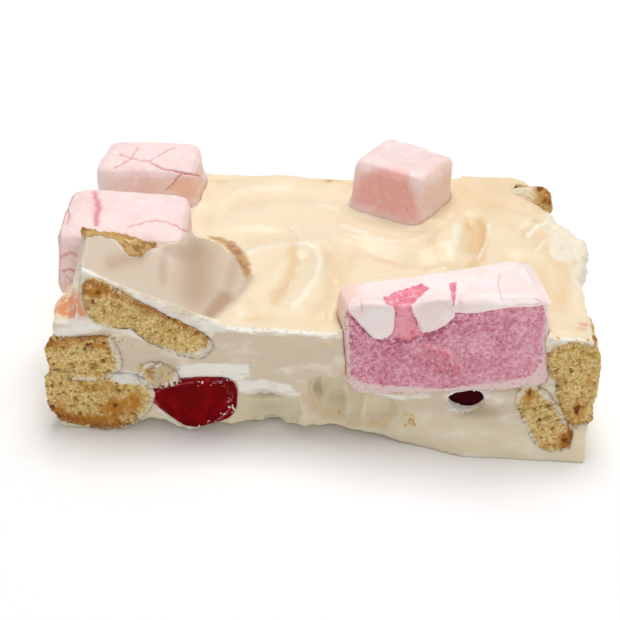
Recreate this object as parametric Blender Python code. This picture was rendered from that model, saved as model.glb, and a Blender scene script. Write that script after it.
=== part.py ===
"""A cut slice of white chocolate rocky road, modelled in metres with +Z up.

The slice rests on its flat underside and its cut face looks along -Y. One chocolate block holds
marshmallows, broken biscuits and cherry pieces, and each of them is a solid in its own pocket.
"""

import math

import bmesh
import bpy
from mathutils import Matrix, Vector, noise

MM = 0.001

# The chocolate block
HALF_LENGTH = 50 * MM
CUT_FACE_Y = -30 * MM
BACK_Y = 31 * MM
TOP_Z = 24 * MM
LATTICE_CELLS = (48, 27, 9)
POCKET_GAP = 0.4 * MM
CUTTER_REACH = 5 * MM
FLAT_Z = 1e-9

# The flat coat over the biscuit that leans out of the top at the left: a point of its plane, how much
# the plane rises along X and Y, and its outline (x, y), drawn past the cut face
COAT_POINT = Vector((-42.8, -30.0, 34.6)) * MM
COAT_SLOPE_X = -0.40
COAT_SLOPE_Y = 0.22
COAT_OUTLINE = (
    (-43.3, -40.0), (-18.9, -40.0), (-18.9, -30.0), (-16.0, -19.6), (-14.8, -13.4), (-22.4, -8.6),
    (-27.0, -11.6), (-33.1, -15.6), (-45.3, -18.4), (-43.3, -30.0),
)
COAT_RISE = 2.2 * MM

# Strokes of the spreading knife on the top: points (x, y), width and height, all in millimetres
TOP_STROKES = (
    (((-28, 20), (-22, 26), (-14, 28), (-4, 27)), 3.4, 0.9),
    (((-12, -22), (-9, -10), (-6, 0), (-2, 3), (1, -3), (1, -12)), 2.6, 1.5),
    (((-6, -2), (-7, -8), (-10, -15)), 2.0, -1.5),
    (((4, -4), (5, -12), (1, -22)), 3.2, 1.0),
    (((0, 9), (9, 6), (19, 3)), 2.4, 0.8),
    (((-19, 5), (-12, 7), (-8, 9)), 3.4, -1.1),
    (((8, 0), (16, -4), (24, -4)), 2.8, -0.9),
    (((22, 12), (23.5, 8.5), (23, 5)), 3.0, 2.1),
    (((28, 17), (29.4, 12), (29, 5)), 1.7, -1.5),
    (((27, 20), (31.5, 14), (32, 4)), 1.5, 0.9),
    (((34, 18), (40, 14), (44, 8)), 2.2, 1.0),
    (((36, 6), (41, 4), (46, 0)), 2.2, 0.9),
    (((36, 0), (42, -6), (45, -16)), 3.0, -1.1),
)

# Recesses of the cut face: centre (x, z), half sizes, turn in degrees and depth, in millimetres
FACE_RECESSES = (
    ((-9.6, 5.6), (5.6, 5.2), 0, 2.6),
    ((3.6, 8.6), (6.6, 6.4), -22, 4.2),
    ((11.0, 6.6), (5.4, 4.4), -14, 2.4),
    ((32.8, 8.0), (3.4, 2.6), 0, 0.9),
    ((-31.4, 17.2), (7.0, 2.4), -14, 0.5),
)

# Outlines on the cut face: points (x, z) in millimetres
CHERRY_OUTLINE = (
    (-31.9, 8.4), (-28.5, 10.7), (-24.5, 12.0), (-18.3, 12.6), (-16.6, 12.1), (-15.9, 9.3),
    (-16.5, 5.4), (-18.8, 3.2), (-22.3, 2.0), (-25.4, 2.2), (-28.6, 4.4),
)
DEEP_CHERRY_OUTLINE = ((24.0, 11.0), (26.0, 11.7), (29.9, 12.3), (30.4, 10.7), (28.1, 9.5), (25.4, 9.8))
LEANING_BISCUIT_OUTLINE = (
    (-41.9, 31.9), (-42.3, 29.0), (-41.4, 25.8), (-38.6, 24.2), (-34.3, 24.0), (-31.6, 21.6),
    (-27.2, 19.4), (-22.0, 18.2), (-20.6, 20.0), (-22.0, 21.6), (-28.6, 25.0), (-33.4, 27.8), (-38.8, 31.0),
)
UPPER_CORNER_BISCUIT_OUTLINE = (
    (-51.2, 19.0), (-51.5, 15.6), (-51.0, 12.7), (-45.0, 12.5), (-40.0, 12.8), (-38.2, 15.0),
    (-38.4, 17.6), (-39.4, 20.1), (-45.0, 19.3),
)
LOWER_CORNER_BISCUIT_OUTLINE = (
    (-51.6, 11.7), (-52.0, 7.4), (-51.6, 3.6), (-45.4, 1.9), (-40.6, 1.6), (-36.0, 3.0),
    (-32.8, 6.4), (-32.9, 11.0), (-38.0, 11.9), (-45.0, 11.6),
)
TALL_BISCUIT_OUTLINE = (
    (43.0, 22.7), (43.2, 19.2), (44.8, 15.2), (45.8, 10.4), (47.4, 7.8), (49.4, 8.6),
    (51.0, 12.2), (51.3, 17.7), (51.0, 22.4), (46.6, 23.3),
)
LOW_BISCUIT_OUTLINE = (
    (37.7, 12.0), (38.6, 14.2), (40.8, 12.9), (42.9, 10.8), (44.4, 8.2), (46.2, 5.2),
    (45.8, 3.6), (42.6, 3.3), (40.2, 5.9), (38.9, 8.8),
)
CRUMB_OUTLINE = ((-33.2, 12.6), (-31.6, 14.5), (-28.8, 14.2), (-27.2, 12.6), (-29.4, 11.5), (-31.8, 11.2))

# Pieces of torn skin that hang over the cut marshmallow: points (x, z) in millimetres
SKIN_FLAPS = (
    ((5.1, 30.1), (8.6, 31.2), (12.1, 31.2), (13.7, 29.7), (13.6, 26.6), (12.9, 25.0), (11.5, 24.0),
     (10.3, 24.0), (8.9, 25.6), (7.4, 27.4), (6.1, 28.9)),
    ((16.6, 30.4), (18.8, 32.2), (23.6, 32.9), (24.2, 29.4), (22.4, 27.4), (18.9, 25.8), (17.8, 28.2)),
    ((24.8, 30.3), (25.0, 32.7), (32.0, 33.5), (39.0, 34.2), (41.0, 33.0), (39.2, 32.3), (35.6, 32.0),
     (31.8, 31.3), (28.6, 30.4)),
)

BISCUIT = (0.76, 0.58, 0.32)
CHERRY = (0.34, 0.01, 0.03)
CHOCOLATE = (0.88, 0.80, 0.66)
MARSHMALLOW = (0.93, 0.66, 0.70)
CUT_MARSHMALLOW = (0.78, 0.36, 0.52)


def clear_scene():
    for thing in list(bpy.data.objects):
        bpy.data.objects.remove(thing, do_unlink=True)


def material(name, colour, roughness):
    made = bpy.data.materials.new(name)
    made.use_nodes = True
    shader = made.node_tree.nodes["Principled BSDF"]
    shader.inputs["Base Color"].default_value = (*colour, 1.0)
    shader.inputs["Roughness"].default_value = roughness
    return made


def object_from(bm, name, finish):
    """Turns a bmesh into a linked, smoothly shaded object of flat triangles that point out."""
    bmesh.ops.triangulate(bm, faces=bm.faces[:])
    bmesh.ops.recalc_face_normals(bm, faces=bm.faces[:])
    mesh = bpy.data.meshes.new(name)
    bm.to_mesh(mesh)
    bm.free()
    mesh.shade_smooth()
    mesh.set_sharp_from_angle(angle=math.radians(40))
    mesh.materials.append(finish)
    thing = bpy.data.objects.new(name, mesh)
    bpy.context.scene.collection.objects.link(thing)
    return thing


def as_cutter(thing):
    thing.hide_render = True
    thing.display_type = "WIRE"
    return thing


def smooth_step(value):
    share = min(1.0, max(0.0, value))
    return share * share * (3 - 2 * share)


def waviness(point, size, salt=0.0):
    """Soft noise from -1 to 1 with bumps of that size."""
    return noise.noise(Vector(point) / size + Vector((salt, 1.7 * salt, -salt)))


def distance_to_line(x, y, points):
    """The distance from (x, y) to a line through points."""
    best = math.inf
    for (ax, ay), (bx, by) in zip(points, points[1:]):
        run_x = bx - ax
        run_y = by - ay
        share = ((x - ax) * run_x + (y - ay) * run_y) / (run_x**2 + run_y**2)
        share = min(1.0, max(0.0, share))
        best = min(best, math.hypot(x - ax - share * run_x, y - ay - share * run_y))
    return best


def lattice_box(low, high, cells):
    """A closed box whose six sides are divided into cells along X, Y and Z."""
    bm = bmesh.new()
    bmesh.ops.create_cube(bm, size=1.0)
    size = high - low
    for vert in bm.verts:
        vert.co = Vector(low[k] + (vert.co[k] + 0.5) * size[k] for k in range(3))
    for axis in range(3):
        normal = Vector(1.0 if k == axis else 0.0 for k in range(3))
        for cut in range(1, cells[axis]):
            geometry = bm.verts[:] + bm.edges[:] + bm.faces[:]
            place = low + size * (cut / cells[axis])
            bmesh.ops.bisect_plane(bm, geom=geometry, plane_co=place, plane_no=normal, dist=1e-7)
    return bm


def coat_depth_inside(x, y):
    """How far (x, y) lies inside the coat's outline, negative outside."""
    closed = (*COAT_OUTLINE, COAT_OUTLINE[0])
    inside = False
    for (ax, ay), (bx, by) in zip(closed, closed[1:]):
        if (ay > y / MM) != (by > y / MM):
            inside ^= x / MM < ax + (y / MM - ay) * (bx - ax) / (by - ay)
    away = distance_to_line(x / MM, y / MM, closed) * MM
    return away if inside else -away


def coat_plane(x, y):
    """The height of the coat over the leaning biscuit."""
    return COAT_POINT.z + COAT_SLOPE_X * (x - COAT_POINT.x) + COAT_SLOPE_Y * (y - COAT_POINT.y)


def stroke_height(x, y):
    """The waves that the spreading knife left in the top."""
    total = 0.0
    for points, width, height in TOP_STROKES:
        away = distance_to_line(x / MM, y / MM, points)
        total += height * MM * math.exp(-((away / width) ** 2))
    return total


def back_coat_bump(x, y):
    """The chocolate over the biscuit piece at the back right corner."""
    across = (x - 36.2 * MM) / (15.6 * MM)
    along = (y - 28.4 * MM) / (5.8 * MM)
    return 1.3 * MM * math.exp(-(across**4) - along**4)


def top_height(x, y):
    height = TOP_Z + 1.2 * MM * smooth_step((x - 10 * MM) / (30 * MM)) * smooth_step((-15 * MM - y) / (15 * MM))
    height += stroke_height(x, y) + back_coat_bump(x, y)
    height += 0.5 * MM * waviness((x, y, 0.0), 9 * MM)
    height -= 1.0 * MM * math.exp((abs(x) - HALF_LENGTH) / (2.0 * MM))
    height += 0.9 * MM * math.exp((y - BACK_Y) / (3.0 * MM))
    left_slope = smooth_step((-40 * MM - x) / (8 * MM)) * smooth_step((-16 * MM - y) / (8 * MM))
    height += 1.6 * MM * left_slope * (1 - smooth_step((-26 * MM - y) / (4 * MM)))
    cover = smooth_step(1.0 + coat_depth_inside(x, y) / COAT_RISE)
    return height + cover * max(0.0, coat_plane(x, y) - height)


def raised_stretch(x):
    """Where the foot of the cut face is drawn up and back, from 0 to 1, with a lip under the cherry."""
    lip = 0.9 * math.exp(-(((x + 25.0 * MM) / (3.0 * MM)) ** 2))
    return smooth_step((x + 38 * MM) / (6 * MM)) * smooth_step((18 * MM - x) / (12 * MM)) * (1.0 - lip)


def base_height(x, y):
    """The underside is flat but for the stretch behind the cut face that doesn't touch the floor."""
    wave = 1.0 + 0.35 * waviness((x, 0.0, 0.0), 7 * MM, 3.0)
    return 2.1 * MM * raised_stretch(x) * wave * smooth_step((-22 * MM - y) / (8 * MM))


def recess_depth(x, z):
    """How far the hollows of the cut face go in at (x, z)."""
    deepest = 0.0
    for (centre_x, centre_z), (half_x, half_z), turn, depth in FACE_RECESSES:
        angle = math.radians(turn)
        run_x = x / MM - centre_x
        run_z = z / MM - centre_z
        across = (run_x * math.cos(angle) + run_z * math.sin(angle)) / half_x
        up = (run_z * math.cos(angle) - run_x * math.sin(angle)) / half_z
        away = math.hypot(across, up)
        deepest = max(deepest, depth * MM * smooth_step(1.6 * (1.12 - away)))
    return deepest


def face_lean(x, z):
    """How far the foot of the cut face goes back at the left and comes forward at the right."""
    back = 1.6 * MM * smooth_step((7 * MM - z) / (7 * MM)) * raised_stretch(x)
    return back - 3.1 * MM * smooth_step((15 * MM - z) / (15 * MM)) * smooth_step((x - 16 * MM) / (12 * MM))


def face_shift(x, z):
    """How far the cut face lies behind its plane at (x, z)."""
    rim = 0.35 * MM * smooth_step((z - 21 * MM) / (2 * MM)) * smooth_step((x + 16 * MM) / (4 * MM))
    return recess_depth(x, z) + face_lean(x, z) - rim + 0.25 * MM * waviness((x, 0.0, z), 6 * MM, 5.0)


def side_shift(x, y, z):
    """How far the left, right and back sides of the block move along X and Y."""
    right = smooth_step((x - 26 * MM) / (24 * MM))
    left = smooth_step((-38 * MM - x) / (12 * MM))
    back = smooth_step((y - 16 * MM) / (15 * MM))
    broken = -10.0 * MM * smooth_step((y - 9 * MM) / (23 * MM)) * (0.6 + 0.4 * z / TOP_Z)
    bulge = 1.8 * MM * math.exp(-(((y - 10.5 * MM) / (4.5 * MM)) ** 2)) * smooth_step((z - 12 * MM) / (8 * MM))
    waist = -1.2 * MM * math.exp(-(((y + 4 * MM) / (9 * MM)) ** 2))
    crag = smooth_step((y + 2 * MM) / (10 * MM)) * smooth_step((z - 8 * MM) / (10 * MM))
    rough = (0.4 + 1.0 * crag) * MM * waviness((0.0, y, z), 5 * MM, 8.0)
    move_x = right * (broken + bulge + waist + rough)
    move_x -= left * 0.6 * MM * waviness((0.0, y, z), 7 * MM, 4.0)
    stretch = 1.0 * MM + 1.6 * MM * smooth_step((x - 12 * MM) / (16 * MM))
    move_y = back * (stretch + 0.5 * MM * waviness((x, 0.0, z), 8 * MM, 6.0))
    return move_x, move_y


def block_point(point):
    """Moves one point of the lattice box to its place on the chocolate block."""
    x, y, z = point
    share = z / TOP_Z
    low = base_height(x, y)
    height = low + share * (top_height(x, y) - low)
    near_face = smooth_step((-18 * MM - y) / (12 * MM))
    move_x, move_y = side_shift(x, y, min(height, TOP_Z))
    return Vector((x + move_x, y + move_y + near_face * face_shift(x, min(height, TOP_Z)), height))


def make_block(finish):
    low = Vector((-HALF_LENGTH, CUT_FACE_Y, 0.0))
    high = Vector((HALF_LENGTH, BACK_Y, TOP_Z))
    bm = lattice_box(low, high, LATTICE_CELLS)
    for vert in bm.verts:
        vert.co = block_point(vert.co)
    flat = {face for face in bm.faces if all(vert.co.z < FLAT_Z for vert in face.verts)}
    inner = [edge for edge in bm.edges if all(face in flat for face in edge.link_faces)]
    bmesh.ops.dissolve_edges(bm, edges=inner, use_verts=True)
    return object_from(bm, "chocolate", finish)


def closed_curve(outline, spacing):
    """Points a spacing apart on a smooth closed curve through the outline, all (x, z) in metres."""
    count = len(outline)
    found = []
    for k in range(count):
        before, start, end, after = (Vector(outline[(k + step) % count]) * MM for step in (-1, 0, 1, 2))
        steps = max(1, round((end - start).length / spacing))
        for step in range(steps):
            t = step / steps
            found.append(
                start
                + 0.5 * t * (end - before)
                + t * t * (before - 2.5 * start + 2 * end - 0.5 * after)
                + 0.5 * t**3 * (3 * start - before - 3 * end + after)
            )
    return found


def ring_at(curve, y, scale, lift=None, lean=0.0):
    """The curve as a ring of points at depth y, shrunk towards its middle, leaning with the cut face."""
    middle = sum(curve, Vector((0.0, 0.0))) / len(curve)
    points = []
    for place in curve:
        x, z = middle + (place - middle) * scale
        points.append(Vector((x, y + lean * face_lean(x, z), z + (lift(x, y) if lift else 0.0))))
    return points


def loft(rings):
    """A closed solid through rings of as many points each, its ends filled by smaller rings."""
    bm = bmesh.new()
    rows = [[bm.verts.new(point) for point in ring] for ring in rings]
    for row, following in zip(rows, rows[1:]):
        for k in range(len(row)):
            after = (k + 1) % len(row)
            bm.faces.new((row[k], row[after], following[after], following[k]))
    for row in (rows[0], rows[-1]):
        middle = bm.verts.new(sum((vert.co for vert in row), Vector()) / len(row))
        for k in range(len(row)):
            bm.faces.new((row[k], row[(k + 1) % len(row)], middle))
    bmesh.ops.recalc_face_normals(bm, faces=bm.faces[:])
    return bm


def roughen(bm, amount, size, salt):
    """Pushes each point in or out along its normal, for a broken, crumbly surface."""
    bm.normal_update()
    moves = [vert.normal * amount * waviness(vert.co, size, salt) for vert in bm.verts]
    for vert, move in zip(bm.verts, moves):
        vert.co += move


def inclusion(name, outline, front, depth, finish, spacing, rough=0.0, taper=0.8, lift=None):
    """A piece that shows its outline at depth y = front and runs into the block, with its cutter."""
    curve = closed_curve(outline, spacing)
    salt = 0.37 * len(name)
    stations = ((0.0, 0.55), (0.0, 1.0), (0.5, 0.5 * (1 + taper)), (0.85, taper), (1.0, 0.6 * taper))
    rings = [ring_at(curve, front + depth * share, scale, lift, 1.0 - share) for share, scale in stations]
    bm = loft(rings)
    if rough:
        roughen(bm, rough, 2.2 * MM, salt)
    piece = object_from(bm, name, finish)
    outside = CUT_FACE_Y - CUTTER_REACH
    reach = [ring_at(curve, outside, 1.0, lift)] + rings[1:]
    cutter = as_cutter(object_from(grown(loft(reach), POCKET_GAP + rough), name + "_pocket", finish))
    return piece, cutter


def grown(bm, distance):
    """The same solid with every point moved out along its normal."""
    bm.normal_update()
    moves = [vert.normal * distance * vert.calc_shell_factor() for vert in bm.verts]
    for vert, move in zip(bm.verts, moves):
        vert.co += move
    return bm


def rounded_box(centre, size, radius, turns, cells, dent=0.0):
    """A box with round edges and soft sides, turned about X, Y and Z in degrees."""
    half = Vector(size) / 2
    bm = lattice_box(-half, half, cells)
    core = half - Vector((radius, radius, radius))
    turn = Matrix.Identity(3)
    for axis, angle in zip("XYZ", turns):
        turn = Matrix.Rotation(math.radians(angle), 3, axis) @ turn
    for vert in bm.verts:
        inner = Vector(min(core[k], max(-core[k], vert.co[k])) for k in range(3))
        outward = vert.co - inner
        place = inner + outward.normalized() * radius if outward.length > 1e-9 else vert.co.copy()
        place *= 1.0 + dent * waviness(place, 9 * MM, centre[0] / MM)
        vert.co = turn @ place + Vector(centre)
    return bm


def whole_piece(name, centre, size, radius, turns, finish, cells=(8, 7, 6)):
    """A whole rounded piece, sunk in the top, with its cutter."""
    centre = Vector(centre) * MM
    size = Vector(size) * MM
    piece = object_from(rounded_box(centre, size, radius * MM, turns, cells, 0.05), name, finish)
    pocket = grown(rounded_box(centre, size, radius * MM, turns, cells, 0.05), POCKET_GAP)
    return piece, as_cutter(object_from(pocket, name + "_pocket", finish))


def cut_marshmallow(finish):
    """The marshmallow that the knife went through: a rounded box cut at the face, with torn skin on it."""
    centre = Vector((22.6, -26.0, 22.2)) * MM
    size = Vector((35.5, 18.0, 18.6)) * MM
    radius = 2.4 * MM
    turns = (-2.0, -4.8, 15.0)
    cells = (12, 7, 7)
    body = rounded_box(centre, size, radius, turns, cells, 0.02)
    pocket = as_cutter(object_from(grown(body.copy(), POCKET_GAP), "marshmallow_cut_pocket", finish))
    geometry = body.verts[:] + body.edges[:] + body.faces[:]
    plane = Vector((0.0, CUT_FACE_Y - 0.1 * MM, 0.0))
    bmesh.ops.bisect_plane(body, geom=geometry, plane_co=plane, plane_no=Vector((0, -1, 0)), clear_outer=True)
    bmesh.ops.holes_fill(body, edges=[edge for edge in body.edges if edge.is_boundary])
    piece = object_from(body, "marshmallow_cut", finish)
    flaps = bpy.data.collections.new("skin_flaps")
    bpy.context.scene.collection.children.link(flaps)
    for number, outline in enumerate(SKIN_FLAPS):
        flap = skin_flap(outline, number, finish)
        bpy.context.scene.collection.objects.unlink(flap)
        flaps.objects.link(flap)
    join(piece, flaps)
    return piece, pocket


def skin_flap(outline, number, finish):
    """A thin plate of skin that stands just proud of the cut face and is rooted in it."""
    curve = closed_curve(outline, 2.4 * MM)
    proud = (0.9 + 0.2 * number) * MM
    front = CUT_FACE_Y - proud
    rings = [ring_at(curve, front, 0.93), ring_at(curve, front + 0.4 * MM, 1.0)]
    rings.append(ring_at(curve, CUT_FACE_Y + 0.9 * MM, 0.96))
    return as_cutter(object_from(loft(rings), f"skin_flap_{number + 1}", finish))


def join(piece, collection):
    """Unites a piece with a collection's objects, applies it and removes them."""
    union = piece.modifiers.new("union", "BOOLEAN")
    union.operand_type = "COLLECTION"
    union.collection = collection
    union.operation = "UNION"
    union.solver = "EXACT"
    apply_modifiers(piece)
    for thing in list(collection.objects):
        bpy.data.objects.remove(thing, do_unlink=True)
    bpy.data.collections.remove(collection)


def apply_modifiers(piece):
    """Replaces a piece's mesh with what its modifiers make of it."""
    bpy.context.view_layer.update()
    graph = bpy.context.evaluated_depsgraph_get()
    mesh = bpy.data.meshes.new_from_object(piece.evaluated_get(graph))
    mesh.set_sharp_from_angle(angle=math.radians(40))
    piece.modifiers.clear()
    piece.data = mesh


def cut_pockets(block, pockets):
    """Cuts all the pockets out of the block."""
    cutters = bpy.data.collections.new("pockets")
    bpy.context.scene.collection.children.link(cutters)
    cutters.hide_render = True
    for pocket in pockets:
        for owner in list(pocket.users_collection):
            owner.objects.unlink(pocket)
        cutters.objects.link(pocket)
        cut = block.modifiers.new(pocket.name, "BOOLEAN")
        cut.object = pocket
        cut.operation = "DIFFERENCE"
        cut.solver = "EXACT"


def coat_lift(x, y):
    """How much higher the leaning biscuit lies at (x, y) than where it shows on the cut face."""
    return COAT_SLOPE_Y * max(0.0, y - CUT_FACE_Y)


def main():
    clear_scene()
    biscuit = material("biscuit", BISCUIT, 0.9)
    cherry = material("cherry", CHERRY, 0.2)
    chocolate = material("chocolate", CHOCOLATE, 0.35)
    marshmallow_skin = material("marshmallow", MARSHMALLOW, 0.7)
    marshmallow_foam = material("marshmallow_foam", CUT_MARSHMALLOW, 0.9)
    face = CUT_FACE_Y
    block = make_block(chocolate)
    made = [
        whole_piece(
            "marshmallow_front_left", (-40.0, -5.4, 27.2), (24.6, 20.0, 15.0), 2.9, (3, 2, 2), marshmallow_skin
        ),
        whole_piece(
            "marshmallow_back_left", (-40.0, 23.6, 27.0), (21.2, 14.2, 12.4), 2.6, (3, -2, -2), marshmallow_skin
        ),
        whole_piece(
            "marshmallow_back_right", (13.0, 22.4, 28.3), (16.6, 15.8, 13.8), 2.3, (-4, 3, -25), marshmallow_skin
        ),
        cut_marshmallow(marshmallow_foam),
        inclusion("cherry_front", CHERRY_OUTLINE, face, 9 * MM, cherry, 1.8 * MM, taper=0.75),
        inclusion("cherry_deep", DEEP_CHERRY_OUTLINE, face + 1.6 * MM, 4.5 * MM, cherry, 1.6 * MM, taper=0.8),
        inclusion(
            "biscuit_leaning", LEANING_BISCUIT_OUTLINE, face, 11.6 * MM, biscuit, 2.0 * MM, 0.2 * MM, 0.86, coat_lift
        ),
        inclusion("biscuit_corner_upper", UPPER_CORNER_BISCUIT_OUTLINE, face, 13 * MM, biscuit, 2.0 * MM, 0.2 * MM),
        inclusion("biscuit_corner_lower", LOWER_CORNER_BISCUIT_OUTLINE, face, 17 * MM, biscuit, 2.0 * MM, 0.2 * MM),
        inclusion("biscuit_right_tall", TALL_BISCUIT_OUTLINE, face, 15 * MM, biscuit, 2.0 * MM, 0.2 * MM),
        inclusion("biscuit_right_low", LOW_BISCUIT_OUTLINE, face, 10 * MM, biscuit, 2.0 * MM, 0.2 * MM),
        inclusion("biscuit_crumb", CRUMB_OUTLINE, face, 3.2 * MM, biscuit, 1.6 * MM, 0.1 * MM),
        whole_piece("biscuit_back_right", (38.4, 29.4, 21.9), (11.4, 5.6, 6.4), 2.2, (0, -10, -6), biscuit, (6, 5, 4)),
    ]
    cut_pockets(block, [pocket for _, pocket in made])


main()
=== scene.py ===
"""A slice of white chocolate rocky road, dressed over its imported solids.

Every solid gives its form and place to a finer piece: the poured block with its swirls, cut face and
broken corner, the marshmallows, the biscuits and the cherries. Loose flakes and crumbs lie on the cut face.
Lengths are millimetres unless a name says otherwise, and marks on the visible side are placed by where
they show in the photograph, in pixels of its 620 by 620 frame.
"""

import math
import random

import bpy
import numpy as np
from mathutils import Matrix, Vector, noise
from mathutils.bvhtree import BVHTree


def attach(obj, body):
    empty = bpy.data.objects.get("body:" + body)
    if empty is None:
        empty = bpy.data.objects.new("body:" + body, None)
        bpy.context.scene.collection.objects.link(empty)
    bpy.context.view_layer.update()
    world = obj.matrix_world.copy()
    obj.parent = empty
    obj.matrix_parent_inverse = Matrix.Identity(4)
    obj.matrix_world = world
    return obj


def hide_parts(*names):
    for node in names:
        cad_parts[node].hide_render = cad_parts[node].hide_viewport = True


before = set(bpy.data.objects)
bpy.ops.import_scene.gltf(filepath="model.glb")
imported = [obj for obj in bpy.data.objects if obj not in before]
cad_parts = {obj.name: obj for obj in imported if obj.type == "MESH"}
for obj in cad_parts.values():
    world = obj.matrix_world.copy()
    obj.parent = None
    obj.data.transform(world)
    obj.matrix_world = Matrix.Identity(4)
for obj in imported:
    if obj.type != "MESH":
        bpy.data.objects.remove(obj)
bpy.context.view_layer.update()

bl_info = {
    "name": "Rocky Road Slice",
    "version": (1, 0, 0),
    "blender": (4, 5, 0),
    "location": "3D View > Sidebar > Rocky Road",
    "description": "Dresses a cut slice of white chocolate rocky road",
    "category": "Add Mesh",
}

MM = 0.001
ROOT = "root"

# The photograph's camera
PHOTO_SIDE = 620
LENS_PX = 1622
SENSOR_MM = 36.0
VIEW_AZIMUTH = math.radians(5)
VIEW_ELEVATION = math.radians(31)
VIEW_DISTANCE = 329
VIEW_TARGET = np.array((-4.3, 0.0, 10.7))
VIEW_BACK = np.array((
    math.sin(VIEW_AZIMUTH) * math.cos(VIEW_ELEVATION),
    -math.cos(VIEW_AZIMUTH) * math.cos(VIEW_ELEVATION),
    math.sin(VIEW_ELEVATION),
))
VIEW_RIGHT = np.array((math.cos(VIEW_AZIMUTH), math.sin(VIEW_AZIMUTH), 0.0))
VIEW_UP = np.cross(VIEW_BACK, VIEW_RIGHT)
VIEW_EYE = VIEW_TARGET + VIEW_BACK * VIEW_DISTANCE

CUT_FACE_Y = -30.0
BACK_Y = 32.0
HALF_LENGTH = 50.0
TOP_Z = 24.0

# Heights over which a piece stands clear of the chocolate, and over which nothing stands
CLEAR_Z = 26.5
FLAP_CLEAR_Z = 30.0
ABOVE_ALL_Z = 45.0

# How deep the cut face's hollows run, and how far their folds stand out
LEFT_HOLLOW_DEPTH = 1.6
RIGHT_HOLLOW_DEPTH = 2.4
FOLD_RISE = 1.1
FOLD_WIDTH_PX = 4.0

# The stage, in metres: each light's place and width
FLOOR_WIDTH = 6.0
KEY_LIGHT = ((0.05, 0.17, 0.90), 0.5)
FILL_LIGHT = ((0.25, -0.85, 0.45), 0.7)
NEAREST_SEEN = 0.01

# The coat over the leaning biscuit: a point of its plane, how much it rises along X and Y, and its outline
COAT_POINT = (-42.8, -30.0, 34.6)
COAT_SLOPE_X = -0.40
COAT_SLOPE_Y = 0.22
COAT_PLAN = (
    (-43.3, -40.0), (-18.9, -40.0), (-18.9, -30.0), (-16.0, -19.6), (-14.8, -13.4), (-22.4, -8.6),
    (-27.0, -11.6), (-33.1, -15.6), (-45.3, -18.4), (-43.3, -30.0),
)

# Relief of the top: points (x, y), width and height in millimetres
SWIRL_SPREAD = 1.45
# How far the pale crests with their painted highlights raise the top
LIGHT_RISE = 0.35
SWIRLS = (
    (((-11, -18), (-8.5, -8), (-6, -1), (-3.4, 2.4), (-0.8, 0), (0.4, -6), (1.5, -13)), 1.5, 0.55),
    (((-6.3, -3), (-7.2, -9), (-10, -16), (-13, -22)), 1.0, -0.55),
    (((-3.4, -4), (-3.2, -10), (-5, -18), (-8, -25)), 1.0, 0.35),
    (((3, -2), (6, -10), (5, -19), (1, -26)), 1.4, -0.4),
    (((-22, 12), (-14, 17), (-4, 19), (6, 17)), 1.2, 0.3),
    (((-24, 8), (-16, 11.5), (-9, 10), (-3, 6)), 1.0, 0.35),
    (((-24, 17), (-15, 22), (-5, 23.5), (4, 22)), 1.0, -0.25),
    (((0, 6), (8, 4.5), (17, 1.5), (20, 3)), 0.8, 0.35),
    (((2, 2), (10, 0), (19, -3)), 0.9, -0.3),
    (((20.2, 13), (20.6, 8), (21.8, 3)), 1.3, 0.5),
    (((27.2, 15), (28.0, 9), (27.4, 3)), 0.9, -0.6),
    (((30, 17), (30.6, 10), (30.4, 2)), 0.7, 0.3),
    (((33, 20), (38, 17), (42, 12)), 1.0, 0.4),
    (((34, 12), (39, 10), (44, 5)), 1.0, 0.45),
    (((35, 7), (40, 5.5), (43, 1)), 0.8, -0.4),
    (((43, -2), (46, -8), (48, -17)), 1.2, 0.4),
    (((-17, -20), (-13, -26)), 0.9, 0.3),
)

# How high the chocolate is drawn up against each marshmallow
DRAWN_UP = {
    "marshmallow_front_left": 1.2, "marshmallow_back_left": 1.2,
    "marshmallow_back_right": 1.3, "marshmallow_cut": 0.9,
}

# Warm tones of the top, mostly along its valleys and partly painted shade there, in pixels: points, width
# and strength
WARM_STREAKS = (
    (((292, 244), (296, 262), (288, 282), (275, 300)), 6, 0.9),
    (((330, 258), (338, 275), (332, 295), (318, 312)), 9, 0.7),
    (((253, 242), (272, 244), (292, 236)), 8, 0.45),
    (((255, 318), (300, 322), (335, 318)), 7, 0.5),
    (((480, 222), (484, 240), (480, 258), (470, 268)), 5, 1.0),
    (((452, 212), (444, 224), (428, 236), (440, 258), (452, 268)), 6, 0.55),
    (((525, 232), (545, 240), (560, 262), (566, 284), (562, 300)), 9, 0.75),
    (((345, 226), (360, 248), (350, 262)), 7, 0.5),
    (((378, 256), (410, 262)), 5, 0.35),
    (((490, 198), (512, 202), (530, 207)), 5, 0.5),
    (((205, 190), (215, 205), (208, 225)), 5, 0.4),
    (((455, 188), (450, 205), (438, 216)), 4, 0.7),
)
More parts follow.
